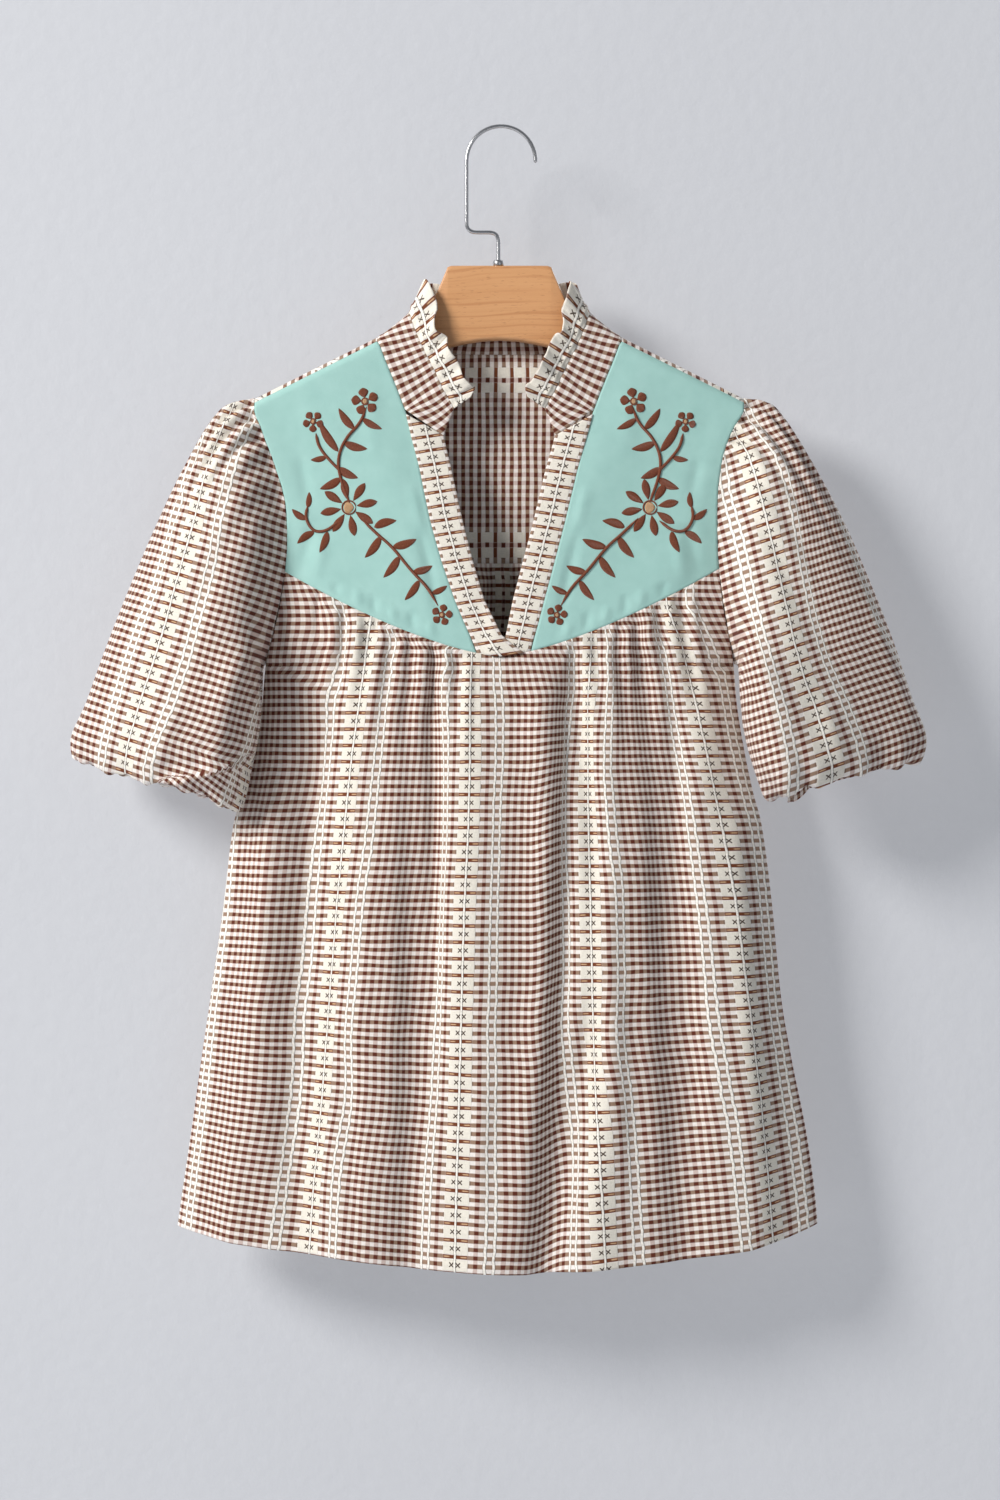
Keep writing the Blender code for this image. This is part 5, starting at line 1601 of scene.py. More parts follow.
def weave_group():
    """The woven chart: small checks with a dobby stripe every 20.5 columns, and its relief."""
    group = bpy.data.node_groups.new("weave", "ShaderNodeTree")
    group.interface.new_socket("Color", in_out="OUTPUT", socket_type="NodeSocketColor")
    group.interface.new_socket("Height", in_out="OUTPUT", socket_type="NodeSocketFloat")
    out = group.nodes.new("NodeGroupOutput")
    column, row = weave_coordinates(group)
    place = joined(group, column, row)
    back = column.over(WRONG_SIDE / 2)
    face = back.invert()
    column = column + (noise(group, place, 0.45) - 0.5) * 0.20
    row = row + (noise(group, place + joined(group, 31.0, 7.0), 0.40) - 0.5) * 0.24
    across = (column * (1 / REPEAT)).whole() * REPEAT
    away = across.size()

    spread = (REPEAT - 2 * FIRST_CHECK) / 9
    checks = ((away - FIRST_CHECK) * (1 / spread)).whole().within(0.26, 0.09) * away.over(FIRST_CHECK - 0.5)
    warp = checks.most((away - SIDE_WARP).within(0.26, 0.09))
    warp = warp.most(away.within(0.28, 0.14) * back)
    for place_of_cord in CORDS_AT:
        warp = warp.most((away - place_of_cord).within(0.25, 0.14) * back)
    weft = (row + 0.5).whole().within(0.25, 0.09)
    base = blend(group, blend(group, WHITE, BROWN_WARP, warp), blend(group, BROWN_WEFT, DARK, warp), weft)

    turn = (row * 0.5 - 0.25).whole() * 2.0
    in_stripe = away.within(BLOCK_HALF, 0.08)
    bare = back * away.within(0.34, 0.08)
    block = turn.within(0.70, 0.10) * in_stripe * bare.invert()
    bar_row = turn.size() - 1.0
    bar = bar_row.within(0.23, 0.07) * in_stripe * bare.invert()
    core = bar_row.within(0.07, 0.06) * (away - 1.10).within(0.36, 0.25) * face
    base = blend(group, base, WHITE, in_stripe * bare.invert())
    base = blend(group, base, blend(group, BAR, BAR_CORE, core), bar)
    base = blend(group, base, CREAM, block)
    rim = turn.within(0.26, 0.1) * (away - BLOCK_HALF - 0.09).within(0.08, 0.08)
    base = blend(group, base, EDGE, rim * 0.9)
    mark_away = away - 0.40
    cross = (mark_away.size() - turn.size()).within(0.10, 0.05)
    mark = cross * mark_away.within(0.29, 0.06) * turn.within(0.28, 0.06) * face
    base = blend(group, base, MARK, mark)

    wobble = (row * 0.5).wave(1.0) * 0.05
    centre = (across + wobble * 0.4).within(0.12, 0.06)
    first = (away + wobble - CORDS_AT[0]).within(0.145, 0.06)
    second = (away - wobble - CORDS_AT[1]).within(0.145, 0.06)
    cords = first.most(second).most(centre) * face
    # Painted shadow: thin dark lines along both sides of each raised cord, darkening the cloth where the
    # cord's shade would fall.
    groove = (across + wobble * 0.4).within(0.21, 0.06).most((away + wobble - CORDS_AT[0]).within(0.21, 0.06))
    groove = groove.most((away - wobble - CORDS_AT[1]).within(0.21, 0.06)) * face
    base = darken(group, base, (groove * 0.42).invert())
    base = blend(group, base, CORD, cords)
    # Painted shade: darker diagonal bands across each cord where its twisted strands would turn into shade.
    painted_twist_shade = ((row * 2.0 + across * 1.2).wave(1.0) * 0.5 + 0.5) * 0.14
    base = darken(group, base, (painted_twist_shade * cords).invert())

    threads = noise(group, joined(group, column * 1.4, row * 22.0), 1.0)
    threads = threads + noise(group, joined(group, column * 22.0, row * 1.4, 5.0), 1.0)
    cloudy = noise(group, place, 0.16, 3.0)
    shade = (threads - 1.0) * 0.40 + (cloudy - 0.5) * 0.12 + 1.0
    base = darken(group, base, shade)
    group.links.new(base.socket, out.inputs[0])

    grain = (column * 8.0).whole().size() * (row * 8.0).whole().size() * 4.0
    height = block * 0.5 + cords * 0.9 + bar * 0.25 + weft * 0.12 + warp * 0.10 + grain * 0.08
    height = height + (threads - 1.0) * 0.3 - mark * 0.4
    group.links.new(height.socket, out.inputs[1])
    return group


def new_material(name):
    material = bpy.data.materials.new(name)
    material.use_nodes = True
    tree = material.node_tree
    return material, tree, tree.nodes["Principled BSDF"]


def add_bump(tree, shader, height, distance):
    node = tree.nodes.new("ShaderNodeBump")
    node.inputs["Strength"].default_value = 1.0
    node.inputs["Distance"].default_value = distance
    tree.links.new(height.socket, node.inputs["Height"])
    tree.links.new(node.outputs[0], shader.inputs["Normal"])


def check_material(name, group):
    material, tree, shader = new_material(name)
    node = tree.nodes.new("ShaderNodeGroup")
    node.node_tree = group
    colour_out = Field(tree, node.outputs[0])
    tree.links.new(colour_out.socket, shader.inputs["Base Color"])
    shader.inputs["Roughness"].default_value = 0.88
    shader.inputs["Specular IOR Level"].default_value = 0.2
    shader.inputs["Sheen Weight"].default_value = 0.08
    add_bump(tree, shader, Field(tree, node.outputs[1]), 0.0004)
    return material


def mint_material(name):
    """Smooth tightly woven cloth with a faint sheen."""
    material, tree, shader = new_material(name)
    x, z = weave_coordinates(tree)
    place = joined(tree, x, z)
    cloudy = noise(tree, place, 0.09, 3.0)
    level = noise(tree, joined(tree, x * 2.0, z * 14.0), 1.0)
    threads = level + noise(tree, joined(tree, x * 14.0, z * 2.0, 3.0), 1.0)
    base = blend(tree, colour(155, 198, 191), colour(165, 206, 199), (cloudy - 0.5) * 1.6 + 0.5)
    base = darken(tree, base, (threads - 1.0) * 0.10 + 1.0)
    tree.links.new(base.socket, shader.inputs["Base Color"])
    shader.inputs["Roughness"].default_value = 0.62
    shader.inputs["Specular IOR Level"].default_value = 0.3
    shader.inputs["Sheen Weight"].default_value = 0.12
    add_bump(tree, shader, threads, 0.0001)
    return material


def thread_material(name, dark, light):
    """Satin stitches: lustrous threads side by side across a leaf, petal or cord; the lustre is a painted
    highlight along each thread, with painted shade between threads.
    """
    material, tree, shader = new_material(name)
    along, across = weave_coordinates(tree)
    lines = along.whole().size() * 2.0
    tangle = noise(tree, joined(tree, along * 1.7, across * 0.6), 1.0)
    # Painted highlight along the middle of each thread and painted shade between neighbouring threads, mixed
    # with random tone from the tangle.
    base = blend(tree, dark, light, lines.invert() * 0.35 + (tangle - 0.5) * 1.1 + 0.18)
    tree.links.new(base.socket, shader.inputs["Base Color"])
    shader.inputs["Roughness"].default_value = 0.45
    shader.inputs["Specular IOR Level"].default_value = 0.35
    add_bump(tree, shader, lines.invert(), 0.00025)
    return material


def object_coordinates(tree):
    node = tree.nodes.new("ShaderNodeTexCoord")
    split = tree.nodes.new("ShaderNodeSeparateXYZ")
    tree.links.new(node.outputs["Object"], split.inputs[0])
    return [Field(tree, split.outputs[i]) for i in range(3)]


def wood_material():
    """Beech with level grain, fine dark flecks and a low sheen of lacquer."""
    material, tree, shader = new_material("beech")
    x, y, z = object_coordinates(tree)
    bend = noise(tree, joined(tree, x * 7.0, y * 30.0, z * 12.0), 1.0, 2.0)
    level = z * 330.0 + bend * 7.0 + y * 90.0
    broad = noise(tree, joined(tree, x * 2.0, 0.0, level * 0.35), 1.0, 2.0)
    fine = noise(tree, joined(tree, x * 14.0, y * 200.0, level * 2.2), 1.0, 3.0)
    lines = noise(tree, joined(tree, x * 9.0, 4.0, level * 0.9), 1.0, 1.0).over(0.60, 0.14)
    flecks = noise(tree, joined(tree, x * 170.0, y * 900.0, level * 5.0), 1.0, 1.0).over(0.68, 0.08)
    base = blend(tree, colour(200, 144, 96), colour(216, 163, 114), broad * 0.9 + fine * 0.5 - 0.2)
    base = blend(tree, base, colour(184, 126, 80), lines * 0.55)
    base = blend(tree, base, colour(150, 98, 58), flecks * 0.45)
    tree.links.new(base.socket, shader.inputs["Base Color"])
    shader.inputs["Roughness"].default_value = 0.42
    shader.inputs["Coat Weight"].default_value = 0.12
    shader.inputs["Coat Roughness"].default_value = 0.3
    add_bump(tree, shader, fine, 0.00012)
    return material


def steel_material(name, shade, roughness):
    material, tree, shader = new_material(name)
    x, y, z = object_coordinates(tree)
    streaks = noise(tree, joined(tree, x * 300.0, y * 300.0, z * 60.0), 1.0, 2.0)
    base = blend(tree, colour(shade - 22, shade - 22, shade - 20), colour(shade, shade, shade + 2), streaks)
    tree.links.new(base.socket, shader.inputs["Base Color"])
    shader.inputs["Metallic"].default_value = 1.0
    shader.inputs["Roughness"].default_value = roughness
    add_bump(tree, shader, streaks, 0.00004)
    return material


# ---- The hanger ----------------------------------------------------------------------------


def rings_object(name, rings, material, sharp=35):
    """A closed solid through equal rings, with fans at both ends."""
    rings = np.asarray(rings, float)
    rows, columns = rings.shape[:2]
    points = np.concatenate([rings.reshape(-1, 3), rings[0].mean(axis=0)[None], rings[-1].mean(axis=0)[None]])
    faces = []
    for row in range(rows - 1):
        for column in range(columns):
            a = row * columns + column
            b = row * columns + (column + 1) % columns
            faces.append((a, a + columns, b + columns, b))
    last = (rows - 1) * columns
    for column in range(columns):
        after = (column + 1) % columns
        faces.append((rows * columns, column, after))
        faces.append((rows * columns + 1, last + after, last + column))
    return make_object(name, points, faces, material, sharp=sharp)


def wood_piece(material):
    """The hanger's wood with well rounded edges and ends."""
    half = np.concatenate([np.linspace(a, b, 5)[:-1] for a, b in zip(WOOD["x"][:-1], WOOD["x"][1:])])
    half = np.append(half, WOOD["x"][-1])
    marks = np.concatenate([-half[::-1], half[1:]])
    rings = []
    for x in marks:
        top = float(np.interp(abs(x), WOOD["x"], WOOD["top"]))
        low = float(np.interp(abs(x), WOOD["x"], WOOD["low"]))
        end = min(1.0, (WOOD["x"][-1] - abs(x)) / 8.0)
        thin = HANGER_HALF * (0.5 + 0.5 * math.sqrt(max(0.0, 1 - (1 - end) ** 2)))
        bevel = 3.2 * thin / HANGER_HALF
        corners = [math.pi / 2 * k / 6 for k in range(7)]
        ring = []
        for sign_y, sign_z in ((1, 1), (1, -1), (-1, -1), (-1, 1)):
            order = corners[::-1] if sign_y == sign_z else corners
            for angle in order:
                y = sign_y * (thin - bevel + bevel * math.cos(angle))
                edge = top if sign_z > 0 else low
                z = edge - sign_z * (bevel - bevel * math.sin(angle))
                ring.append((x, y, z))
        rings.append(ring)
    return rings_object("hanger_bar", rings, material)


def hook_piece(material):
    """The bent wire, its corners drawn round and its tip rounded off."""
    turns = np.linspace(math.pi, math.radians(-4), 40)
    bend = [HOOK_CENTRE_X + HOOK_RADIUS * np.cos(turns), HOOK_RADIUS * (np.sin(turns) - 1) + WIRE]
    stem = [HOOK["x"], HOOK["z"]]
    line, marks = even_points(np.concatenate([stem, bend], axis=1).T, 220)
    for _ in range(6):
        line[1:-1] = (line[:-2] + 2 * line[1:-1] + line[2:]) / 4
    angles = 2 * math.pi * np.arange(20) / 20
    rings = []
    for i, (x, z) in enumerate(line):
        run = run_at(line, i)
        left = marks[-1] - marks[i]
        size = WIRE * math.sqrt(max(0.02, 1 - max(0.0, 1 - left / WIRE) ** 2))
        away = size * np.cos(angles)
        rings.append(np.stack([x - run[1] * away, size * np.sin(angles), z + run[0] * away], axis=1))
    return rings_object("hanger_wire", rings, material, sharp=60)


# Profile of the small collar the wire goes into, from its top.
NUT = table(
    "z radius",
    (-99.6, 2.2),
    (-99.9, 3.2),
    (-100.5, 3.9),
    (-101.3, 4.2),
    (-103.3, 4.2),
    (-103.9, 4.0),
    (-104.2, 3.2),
)


def nut_piece(material):
    """The small collar where the wire goes into the wood."""
    angles = 2 * math.pi * np.arange(36) / 36
    rings = []
    for z, radius in zip(NUT["z"], NUT["radius"]):
        across = HOOK["x"][0] + radius * np.cos(angles)
        rings.append(np.stack([across, radius * np.sin(angles), np.full(36, z)], axis=1))
    return rings_object("hanger_collar", rings, material)


# ---- Needlework ----------------------------------------------------------------------------


class Panel:
    """The outer side of a cloth piece, which threads are laid on from the front."""

    def __init__(self, item):
        mesh = item.data
        points = [vertex.co.copy() for vertex in mesh.vertices]
        self.tree = BVHTree.FromPolygons(points, [tuple(face.vertices) for face in mesh.polygons])

    def lay(self, x, z, height=0.0):
        """Point on the panel at x, z as seen from the front, lifted off it."""
        start = Vector((x * MM, -0.3, z * MM))
        hit, normal = self.tree.ray_cast(start, Vector((0, 1, 0)))[:2]
        if hit is None:
            hit, normal = self.tree.find_nearest(start * 0.5)[:2]
        if normal.y > 0:
            normal = -normal
        return np.array(hit) / MM + np.array(normal) * height


# Spacing of the threads along a cord.
STITCH = 0.9


class Needle:
    """Gathers laid threads into one mesh."""

    def __init__(self):
        self.points = []
        self.faces = []
        self.corners = []

    def grid(self, points, uv):
        rows, columns = points.shape[:2]
        start = sum(len(group) for group in self.points)
        self.points.append(points.reshape(-1, 3))
        flat = uv.reshape(-1, 2)
        for row in range(rows - 1):
            for column in range(columns - 1):
                a = row * columns + column
                ring = (a, a + 1, a + 1 + columns, a + columns)
                self.faces.append([start + i for i in ring])
                self.corners.extend(flat[i] for i in ring)

    def leaf(self, panel, base, tip, width, bend=0.0, height=0.9, blunt=0.0):
        """A filled leaf or petal from base to tip, its threads slanting off a middle groove."""
        base = np.array(base, float)
        tip = np.array(tip, float)
        run = tip - base
        length = float(np.hypot(*run))
        side = np.array([-run[1], run[0]]) / length
        rows = 15
        columns = 9
        grid = np.zeros((rows, columns, 3))
        uv = np.zeros((rows, columns, 2))
        for i, share in enumerate(np.linspace(0, 1, rows)):
            middle = base + run * share + side * bend * math.sin(math.pi * share)
            swell = math.sin(math.pi * share ** (0.8 + blunt)) ** 0.75 if 0 < share < 1 else 0.0
            for k, part in enumerate(np.linspace(-1, 1, columns)):
                spot = middle + side * width / 2 * swell * part
                dome = height * (1 - part**2) ** 0.5 * min(1.0, swell * 1.6)
                groove = 0.16 * math.exp(-((part / 0.16) ** 2))
                grid[i, k] = panel.lay(spot[0], spot[1], max(0.02, dome - groove) if swell > 0 else 0.02)
                uv[i, k] = (share * length / 0.62 + abs(part) * 1.2, part * width / 2)
        self.grid(grid, uv)

    def cord(self, panel, path, radius):
        """A raised line of stitches along a smooth path."""
        path = smooth_path(path)
        count = max(4, int(running(path)[-1] / STITCH))
        line, marks = even_points(path, count)
        angles = np.linspace(-0.15, math.pi + 0.15, 7)
        grid = np.zeros((count, 7, 3))
        uv = np.zeros((count, 7, 2))
        for i in range(count):
            run = run_at(line, i)
            side = np.array([-run[1], run[0]])
            share = marks[i] / marks[-1]
            size = radius * min(1.0, 0.25 + 8 * min(share, 1 - share))
            for k, angle in enumerate(angles):
                spot = line[i] + side * size * math.cos(angle)
                grid[i, k] = panel.lay(spot[0], spot[1], size * (0.25 + math.sin(angle)))
                uv[i, k] = (marks[i] / STITCH + angle * 0.35, angle)
        self.grid(grid, uv)

    def finish(self, name, material):
        return make_object(name, np.concatenate(self.points), self.faces, material, self.corners)


def smooth_path(points, rounds=4):
    """A chain of points with its corners cut off again and again."""
    points = np.asarray(points, float)
    for _ in range(rounds):
        a = points[:-1] * 0.75 + points[1:] * 0.25
        b = points[:-1] * 0.25 + points[1:] * 0.75
        inner = np.stack([a, b], axis=1).reshape(-1, points.shape[1])
        points = np.concatenate([points[:1], inner, points[-1:]])
    return points


# Sprays on the left yoke; the right one has them mirrored. Stems are chains of points.
STEMS = (
    ((-112, -286), (-119, -268), (-122, -252), (-116, -236), (-104, -224), (-100, -212)),
    ((-104, -296), (-92, -308), (-80, -318), (-66, -336), (-54, -348), (-46, -362)),
    ((-120, -298), (-130, -306), (-140, -306), (-146, -296), (-144, -286)),
    ((-118, -262), (-128, -252), (-136, -242), (-138, -232)),
)
LEAVES = table(
    "base_x base_z tip_x tip_z width bend",
    (-119, -266, -135, -274, 6.6, 1.0),
    (-121, -258, -106, -266, 6.4, -1.0),
    (-121, -246, -136, -222, 6.4, 1.1),
    (-117, -239, -99, -244, 6.4, -1.1),
    (-109, -229, -121, -213, 6.0, 1.0),
    (-103, -221, -88, -229, 5.4, -0.9),
    (-94, -303, -77, -298, 6.6, 1.1),
    (-89, -310, -101, -326, 6.6, 1.1),
    (-80, -318, -62, -312, 6.6, -1.0),
    (-75, -325, -87, -341, 6.4, 1.1),
    (-65, -337, -50, -332, 5.8, -1.0),
    (-60, -343, -71, -358, 5.8, 1.0),
    (-51, -353, -39, -347, 4.6, -0.7),
    (-129, -306, -135, -322, 6.0, 1.0),
    (-139, -306, -152, -315, 5.8, -0.8),
    (-145, -297, -156, -289, 5.2, 0.8),
    (-130, -250, -142, -252, 4.6, 0.6),
    (-144, -288, -143, -276, 4.6, -0.5),
)
FLOWERS = table(
    "x z radius petals turn",
    (-113, -288, 22.0, 8, 0.2),
    (-101, -208, 10.6, 5, 0.5),
    (-43, -369, 8.2, 5, 0.1),
    (-140, -223, 8.2, 5, 0.9),
)


def embroider(side, panel, main, light):
    """Flower sprays in raised satin stitch on one yoke."""
    filled = Needle()
    heart = Needle()

    def place(x, z):
        return (x if side < 0 else -x, z)

    for stem in STEMS:
        filled.cord(panel, [place(*spot) for spot in stem], 1.15)
    for i in range(len(LEAVES["base_x"])):
        base = place(LEAVES["base_x"][i], LEAVES["base_z"][i])
        tip = place(LEAVES["tip_x"][i], LEAVES["tip_z"][i])
        filled.leaf(panel, base, tip, LEAVES["width"][i], LEAVES["bend"][i] * -side)
    for i in range(len(FLOWERS["x"])):
        x, z = place(FLOWERS["x"][i], FLOWERS["z"][i])
        radius = FLOWERS["radius"][i]
        count = int(FLOWERS["petals"][i])
        for k in range(count):
            angle = FLOWERS["turn"][i] + 2 * math.pi * k / count
            way = np.array([math.cos(angle), math.sin(angle)])
            centre = np.array([x, z])
            width = radius * 2.3 / count if count > 5 else radius * 0.72
            filled.leaf(panel, centre + way * radius * 0.26, centre + way * radius, width, 0.0, 1.0, 0.45)
        around = np.linspace(0, 6.4, 13)
        ring = np.stack([x + radius * 0.24 * np.cos(around), z + radius * 0.24 * np.sin(around)], axis=1)
        filled.cord(panel, ring, 0.6)
        heart.leaf(panel, (x - radius * 0.18, z), (x + radius * 0.18, z), radius * 0.42, 0.0, 1.1, 0.0)
    name = "left" if side < 0 else "right"
    return [filled.finish("embroidery_" + name, main), heart.finish("flower_hearts_" + name, light)]


# ---- Building it ---------------------------------------------------------------------------


def declare(item, node):
    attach(item, "root")
    if node:
        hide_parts(node)


# Points on the inner side of the front pieces, of the back pieces and of the collar.
BEHIND = (0.0, 2000.0, -450.0)
AHEAD = (0.0, -2000.0, -450.0)
HEART = (0.0, 0.0, -150.0)


def stepped(*runs):
    """Marks in even runs, each a start, an end and a count, laid end to end."""
    return np.concatenate([np.linspace(*run)[min(i, 1) :] for i, run in enumerate(runs)])


def across_body(count):
    """Columns from side to side, closer together towards the side seams."""
    reach = math.pi / 2 * 0.86
    return np.sin(np.linspace(-1, 1, count) * reach) / math.sin(reach)


def cloth_pieces():
    """Every cloth piece as a fine shell; returns the objects by the name of the node they replace."""
    group = weave_group()
    made = {}

    def add(node, piece, surface, u, v, weave, wall=WALL, closed=False, heart=HEART):
        slot = CUTS[node][3]
        material = mint_material(slot) if slot.startswith("mint") else check_material(slot, group)
        made[node] = cloth_shell(piece, surface, u, v, weave, wall, material, closed, heart)

    u = across_body(241)
    v = stepped((0, 0.09, 22), (0.09, 0.96, 130), (0.96, 1, 14))
    weave = front_weave(grid_points(front_fine, u, v))
    add("front_body", "front", front_fine, u, v, weave, heart=BEHIND)

    u = across_body(161)
    v = stepped((0, 0.09, 16), (0.09, 0.96, 90), (0.96, 1, 12))
    weave = back_weave(grid_points(back_fine, u, v))
    add("back_body", "back", back_fine, u, v, weave, heart=AHEAD)

    u = spaced(back_yoke_columns(), 151)
    v = spaced(YOKE_OVER, 70)
    weave = yoke_weave(grid_points(back_yoke_point, u, v))
    add("back_yoke", "back_yoke_cloth", back_yoke_point, u, v, weave, heart=AHEAD)

    for side, name in ((-1, "left"), (1, "right")):
        yoke = partial(yoke_fine, side)
        u = np.linspace(0, 1, 64)
        v = np.linspace(0, 1, 84)
        plain = grid_points(yoke, u, v)[..., [0, 2]]
        add("front_yoke_" + name, "yoke_" + name, yoke, u, v, plain, heart=BEHIND)

        band = partial(band_fine, side)
        u = np.linspace(0, 1, 15)
        v = np.linspace(0, 1, 90)
        weave = band_weave(grid_points(band, u, v), side)
        add("neck_band_" + name, "band_" + name, band, u, v, weave, BAND_WALL, heart=BEHIND)

        sleeve = partial(sleeve_fine, side)
        u = spaced(sleeve_columns(side), 200)
        u = u[np.abs(u - math.pi) > 0.008]
        u = np.sort(np.append(u, [math.pi - 0.003, math.pi + 0.003]))
        v = stepped((0, 0.12, 16), (0.12, 0.78, 60), (0.78, 1, 34))
        weave = sleeve_weave(side, grid_points(sleeve, u, v), u, v)
        add("sleeve_" + name, "puff_sleeve_" + name, sleeve, u, v, weave, closed=True)

        cuff = partial(cuff_fine, side)
        u = np.linspace(0, 2 * math.pi, 12 * CUFF_WAVES + 1)
        v = np.linspace(0, 1, 18)
        weave = strip_weave(grid_points(cuff, u, v), 6.6, 10.6, 1.5)
        add("cuff_" + name, "frilled_cuff_" + name, cuff, u, v, weave, closed=True)

    u = spaced(np.concatenate([-1 + np.arange(17) / 17, np.arange(18) / 17]), 171)
    v = np.linspace(0, 1, 16)
    weave = strip_weave(grid_points(stand_fine, u, v), 7.1, 11.3, 1.0, 1.4)
    add("collar_stand", "stand", stand_fine, u, v, weave)

    u = np.interp(np.linspace(0, 1, 14 * RUFFLE_WAVES + 1), ROUND["share"], ROUND["u"])
    v = stepped((0, 0.3, 8), (0.3, 1, 12))
    weave = strip_weave(grid_points(ruffle_fine, u, v), -1.55, 1.55, 1.0, 0.8)
    add("collar_ruffle", "ruffle", ruffle_fine, u, v, weave)
    return made


# Cut size of each cloth piece, millimetres: width, length and share of that rectangle, with the
# name of its look.
CUTS = {
    "front_body": (545, 480, 0.93, "check_front"),
    "back_body": (545, 530, 0.94, "check_back"),
    "back_yoke": (375, 235, 0.88, "check_yoke"),
    "front_yoke_left": (165, 240, 0.70, "mint_left"),
    "front_yoke_right": (165, 240, 0.70, "mint_right"),
    "neck_band_left": (28, 192, 1.0, "check_band_left"),
    "neck_band_right": (28, 192, 1.0, "check_band_right"),
    "sleeve_left": (390, 330, 0.86, "check_sleeve_left"),
    "sleeve_right": (390, 330, 0.86, "check_sleeve_right"),
    "cuff_left": (230, 22, 0.9, "check_cuff_left"),
    "cuff_right": (230, 22, 0.9, "check_cuff_right"),
    "collar_stand": (440, 34, 0.75, "check_collar"),
    "collar_ruffle": (400, 25, 0.95, "check_ruffle"),
}


def build():
    made = cloth_pieces()
    wood = wood_piece(wood_material())
    wire = hook_piece(steel_material("wire_steel", 205, 0.24))
    nut = nut_piece(steel_material("nut_steel", 196, 0.3))
    declare(wood, "hanger_wood")
    declare(wire, "hanger_hook")
    declare(nut, "hanger_nut")

    rust = thread_material("rust_thread", colour(92, 42, 26), colour(160, 92, 62))
    tan = thread_material("tan_thread", colour(176, 132, 92), colour(226, 190, 150))
    for side, name in ((-1, "left"), (1, "right")):
        for item in embroider(side, Panel(made["front_yoke_" + name]), rust, tan):
            declare(item, None)

    for node, (width, length, share, slot) in CUTS.items():
        declare(made[node], node)


def area_light(name, place, target, size, energy, tint=(1.0, 1.0, 1.0)):
    data = bpy.data.lights.new(name, "AREA")
    data.shape = "DISK"
    data.size = size
    data.energy = energy
    data.color = tint
    item = bpy.data.objects.new(name, data)
    item.location = place
    item.rotation_mode = "QUATERNION"
    item.rotation_quaternion = (Vector(target) - Vector(place)).to_track_quat("-Z", "Y")
    bpy.context.scene.collection.objects.link(item)


def stage_plane(name, corners, material):
    mesh = bpy.data.meshes.new(name)
    mesh.from_pydata(corners, [], [(0, 1, 2, 3)])
    mesh.materials.append(material)
    item = bpy.data.objects.new(name, mesh)
    bpy.context.scene.collection.objects.link(item)
    return item


def plaster_material():
    """Pale painted wall; its far side lets rays through, so it doesn't hide the back."""
    material, tree, shader = new_material("pale_wall")
    x, y, z = object_coordinates(tree)
    place = joined(tree, x, y, z)
    cloudy = noise(tree, place, 2.2, 4.0)
    fine = noise(tree, place, 90.0, 4.0)
    base = blend(tree, colour(203, 205, 211), colour(212, 214, 219), cloudy * 0.7 + fine * 0.3)
    tree.links.new(base.socket, shader.inputs["Base Color"])
    shader.inputs["Roughness"].default_value = 0.9
    shader.inputs["Specular IOR Level"].default_value = 0.15
    add_bump(tree, shader, fine, 0.0006)
    side = tree.nodes.new("ShaderNodeNewGeometry")
    clear = tree.nodes.new("ShaderNodeBsdfTransparent")
    mix = tree.nodes.new("ShaderNodeMixShader")
    glow = tree.nodes.new("ShaderNodeEmission")
    tree.links.new(base.socket, glow.inputs[0])
    glow.inputs[1].default_value = 0.92
    half = tree.nodes.new("ShaderNodeMixShader")
    half.inputs[0].default_value = 0.42
    tree.links.new(shader.outputs[0], half.inputs[1])
    tree.links.new(glow.outputs[0], half.inputs[2])
    tree.links.new(side.outputs["Backfacing"], mix.inputs[0])
    tree.links.new(half.outputs[0], mix.inputs[1])
    tree.links.new(clear.outputs[0], mix.inputs[2])
    tree.links.new(mix.outputs[0], tree.nodes["Material Output"].inputs[0])
    return material


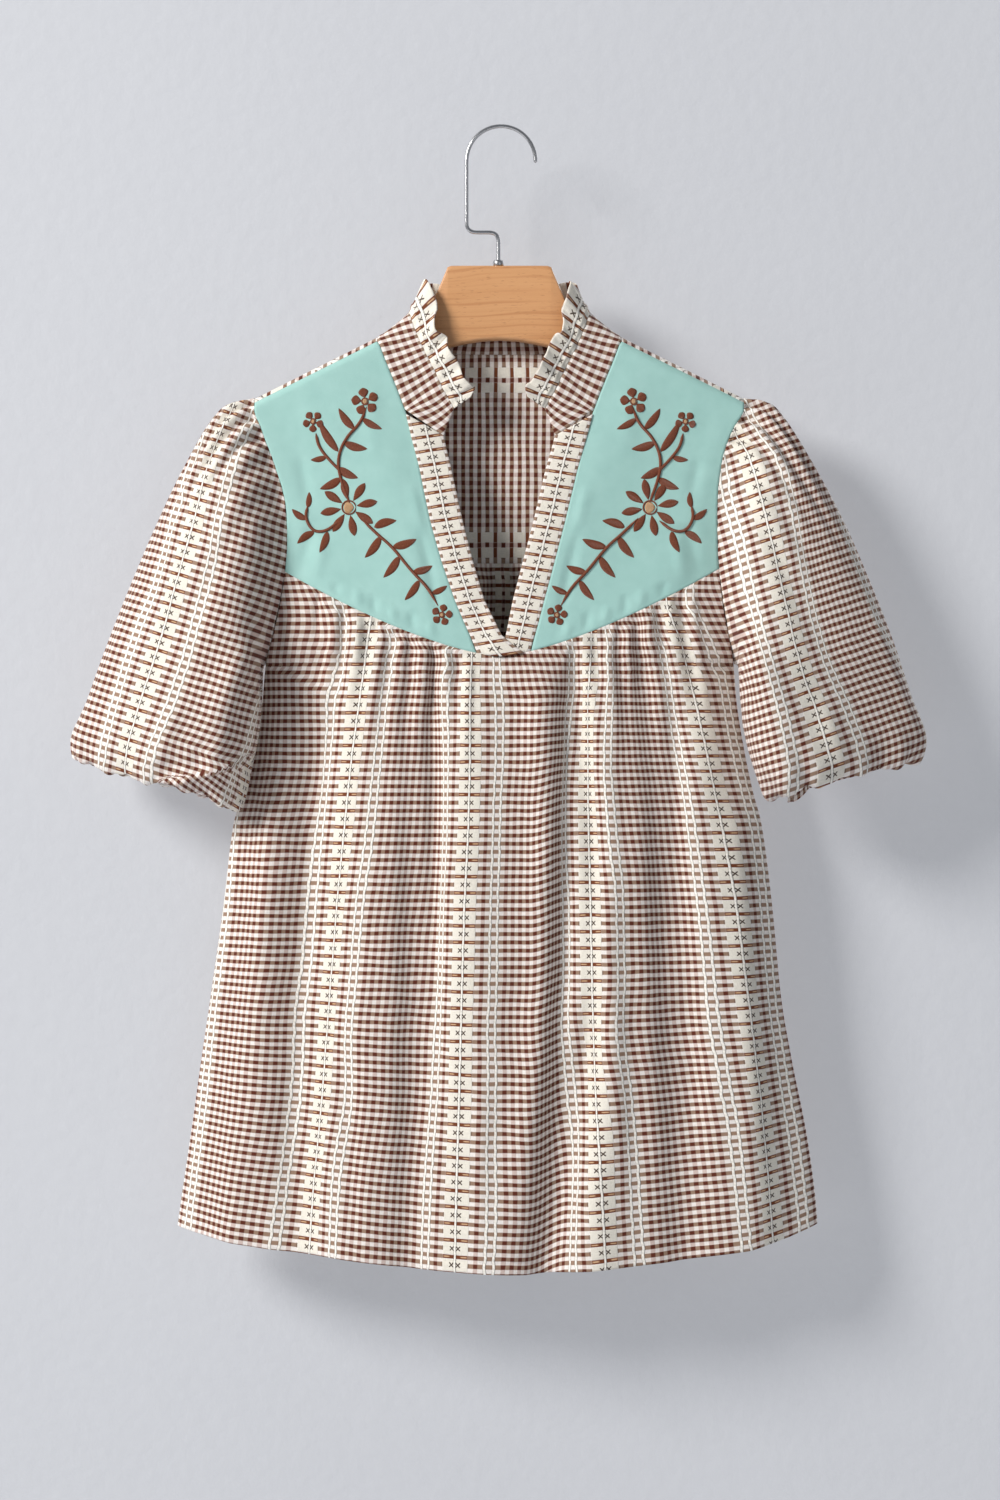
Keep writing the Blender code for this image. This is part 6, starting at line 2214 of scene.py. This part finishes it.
FRAME_HEIGHT = 1.125
FRAME_CENTRE = (0.0004, -0.470)
CAMERA_DISTANCE = 2.6
FOCUS_Y = -0.020
WALL_Y = 0.053
FLOOR_Z = -1.7


def stage_and_lights():
    scene = bpy.context.scene
    reach = 3.2
    wall = stage_plane(
        "backdrop",
        [(-reach, WALL_Y, -2.0), (reach, WALL_Y, -2.0), (reach, WALL_Y, 2.4), (-reach, WALL_Y, 2.4)],
        plaster_material(),
    )
    wall.visible_shadow = False
    floor_material, tree, shader = new_material("pale_floor")
    x, y, z = object_coordinates(tree)
    grain = noise(tree, joined(tree, x, y, z), 6.0, 3.0)
    shade = blend(tree, colour(200, 202, 207), colour(210, 212, 216), grain)
    tree.links.new(shade.socket, shader.inputs["Base Color"])
    shader.inputs["Roughness"].default_value = 0.8
    corners = ((-reach, -reach), (reach, -reach), (reach, reach), (-reach, reach))
    stage_plane("floor", [(x, y, FLOOR_Z) for x, y in corners], floor_material)

    world = bpy.data.worlds.new("studio")
    world.use_nodes = True
    world.node_tree.nodes["Background"].inputs[0].default_value = (0.80, 0.84, 0.90, 1.0)
    world.node_tree.nodes["Background"].inputs[1].default_value = 0.23
    scene.world = world
    target = (0.0, 0.0, -0.45)
    area_light("key", (-3.3, -2.6, 1.7), target, 1.6, 262.0, (1.0, 0.98, 0.95))
    area_light("fill", (1.6, -3.2, -0.2), target, 2.2, 9.0, (0.92, 0.96, 1.0))
    area_light("back_left", (1.6, 2.2, 0.9), target, 1.4, 34.0)
    area_light("back_right", (-1.6, 2.4, -0.2), target, 2.0, 16.0)

    camera_data = bpy.data.cameras.new("camera")
    camera_data.sensor_width = 36.0
    camera_data.lens = 36.0 * (CAMERA_DISTANCE + FOCUS_Y) / FRAME_HEIGHT
    camera = bpy.data.objects.new("camera", camera_data)
    camera.location = (FRAME_CENTRE[0], -CAMERA_DISTANCE, FRAME_CENTRE[1])
    camera.rotation_euler = (math.pi / 2, 0.0, 0.0)
    scene.collection.objects.link(camera)
    scene.camera = camera
    scene.view_settings.view_transform = "Standard"


build()
stage_and_lights()
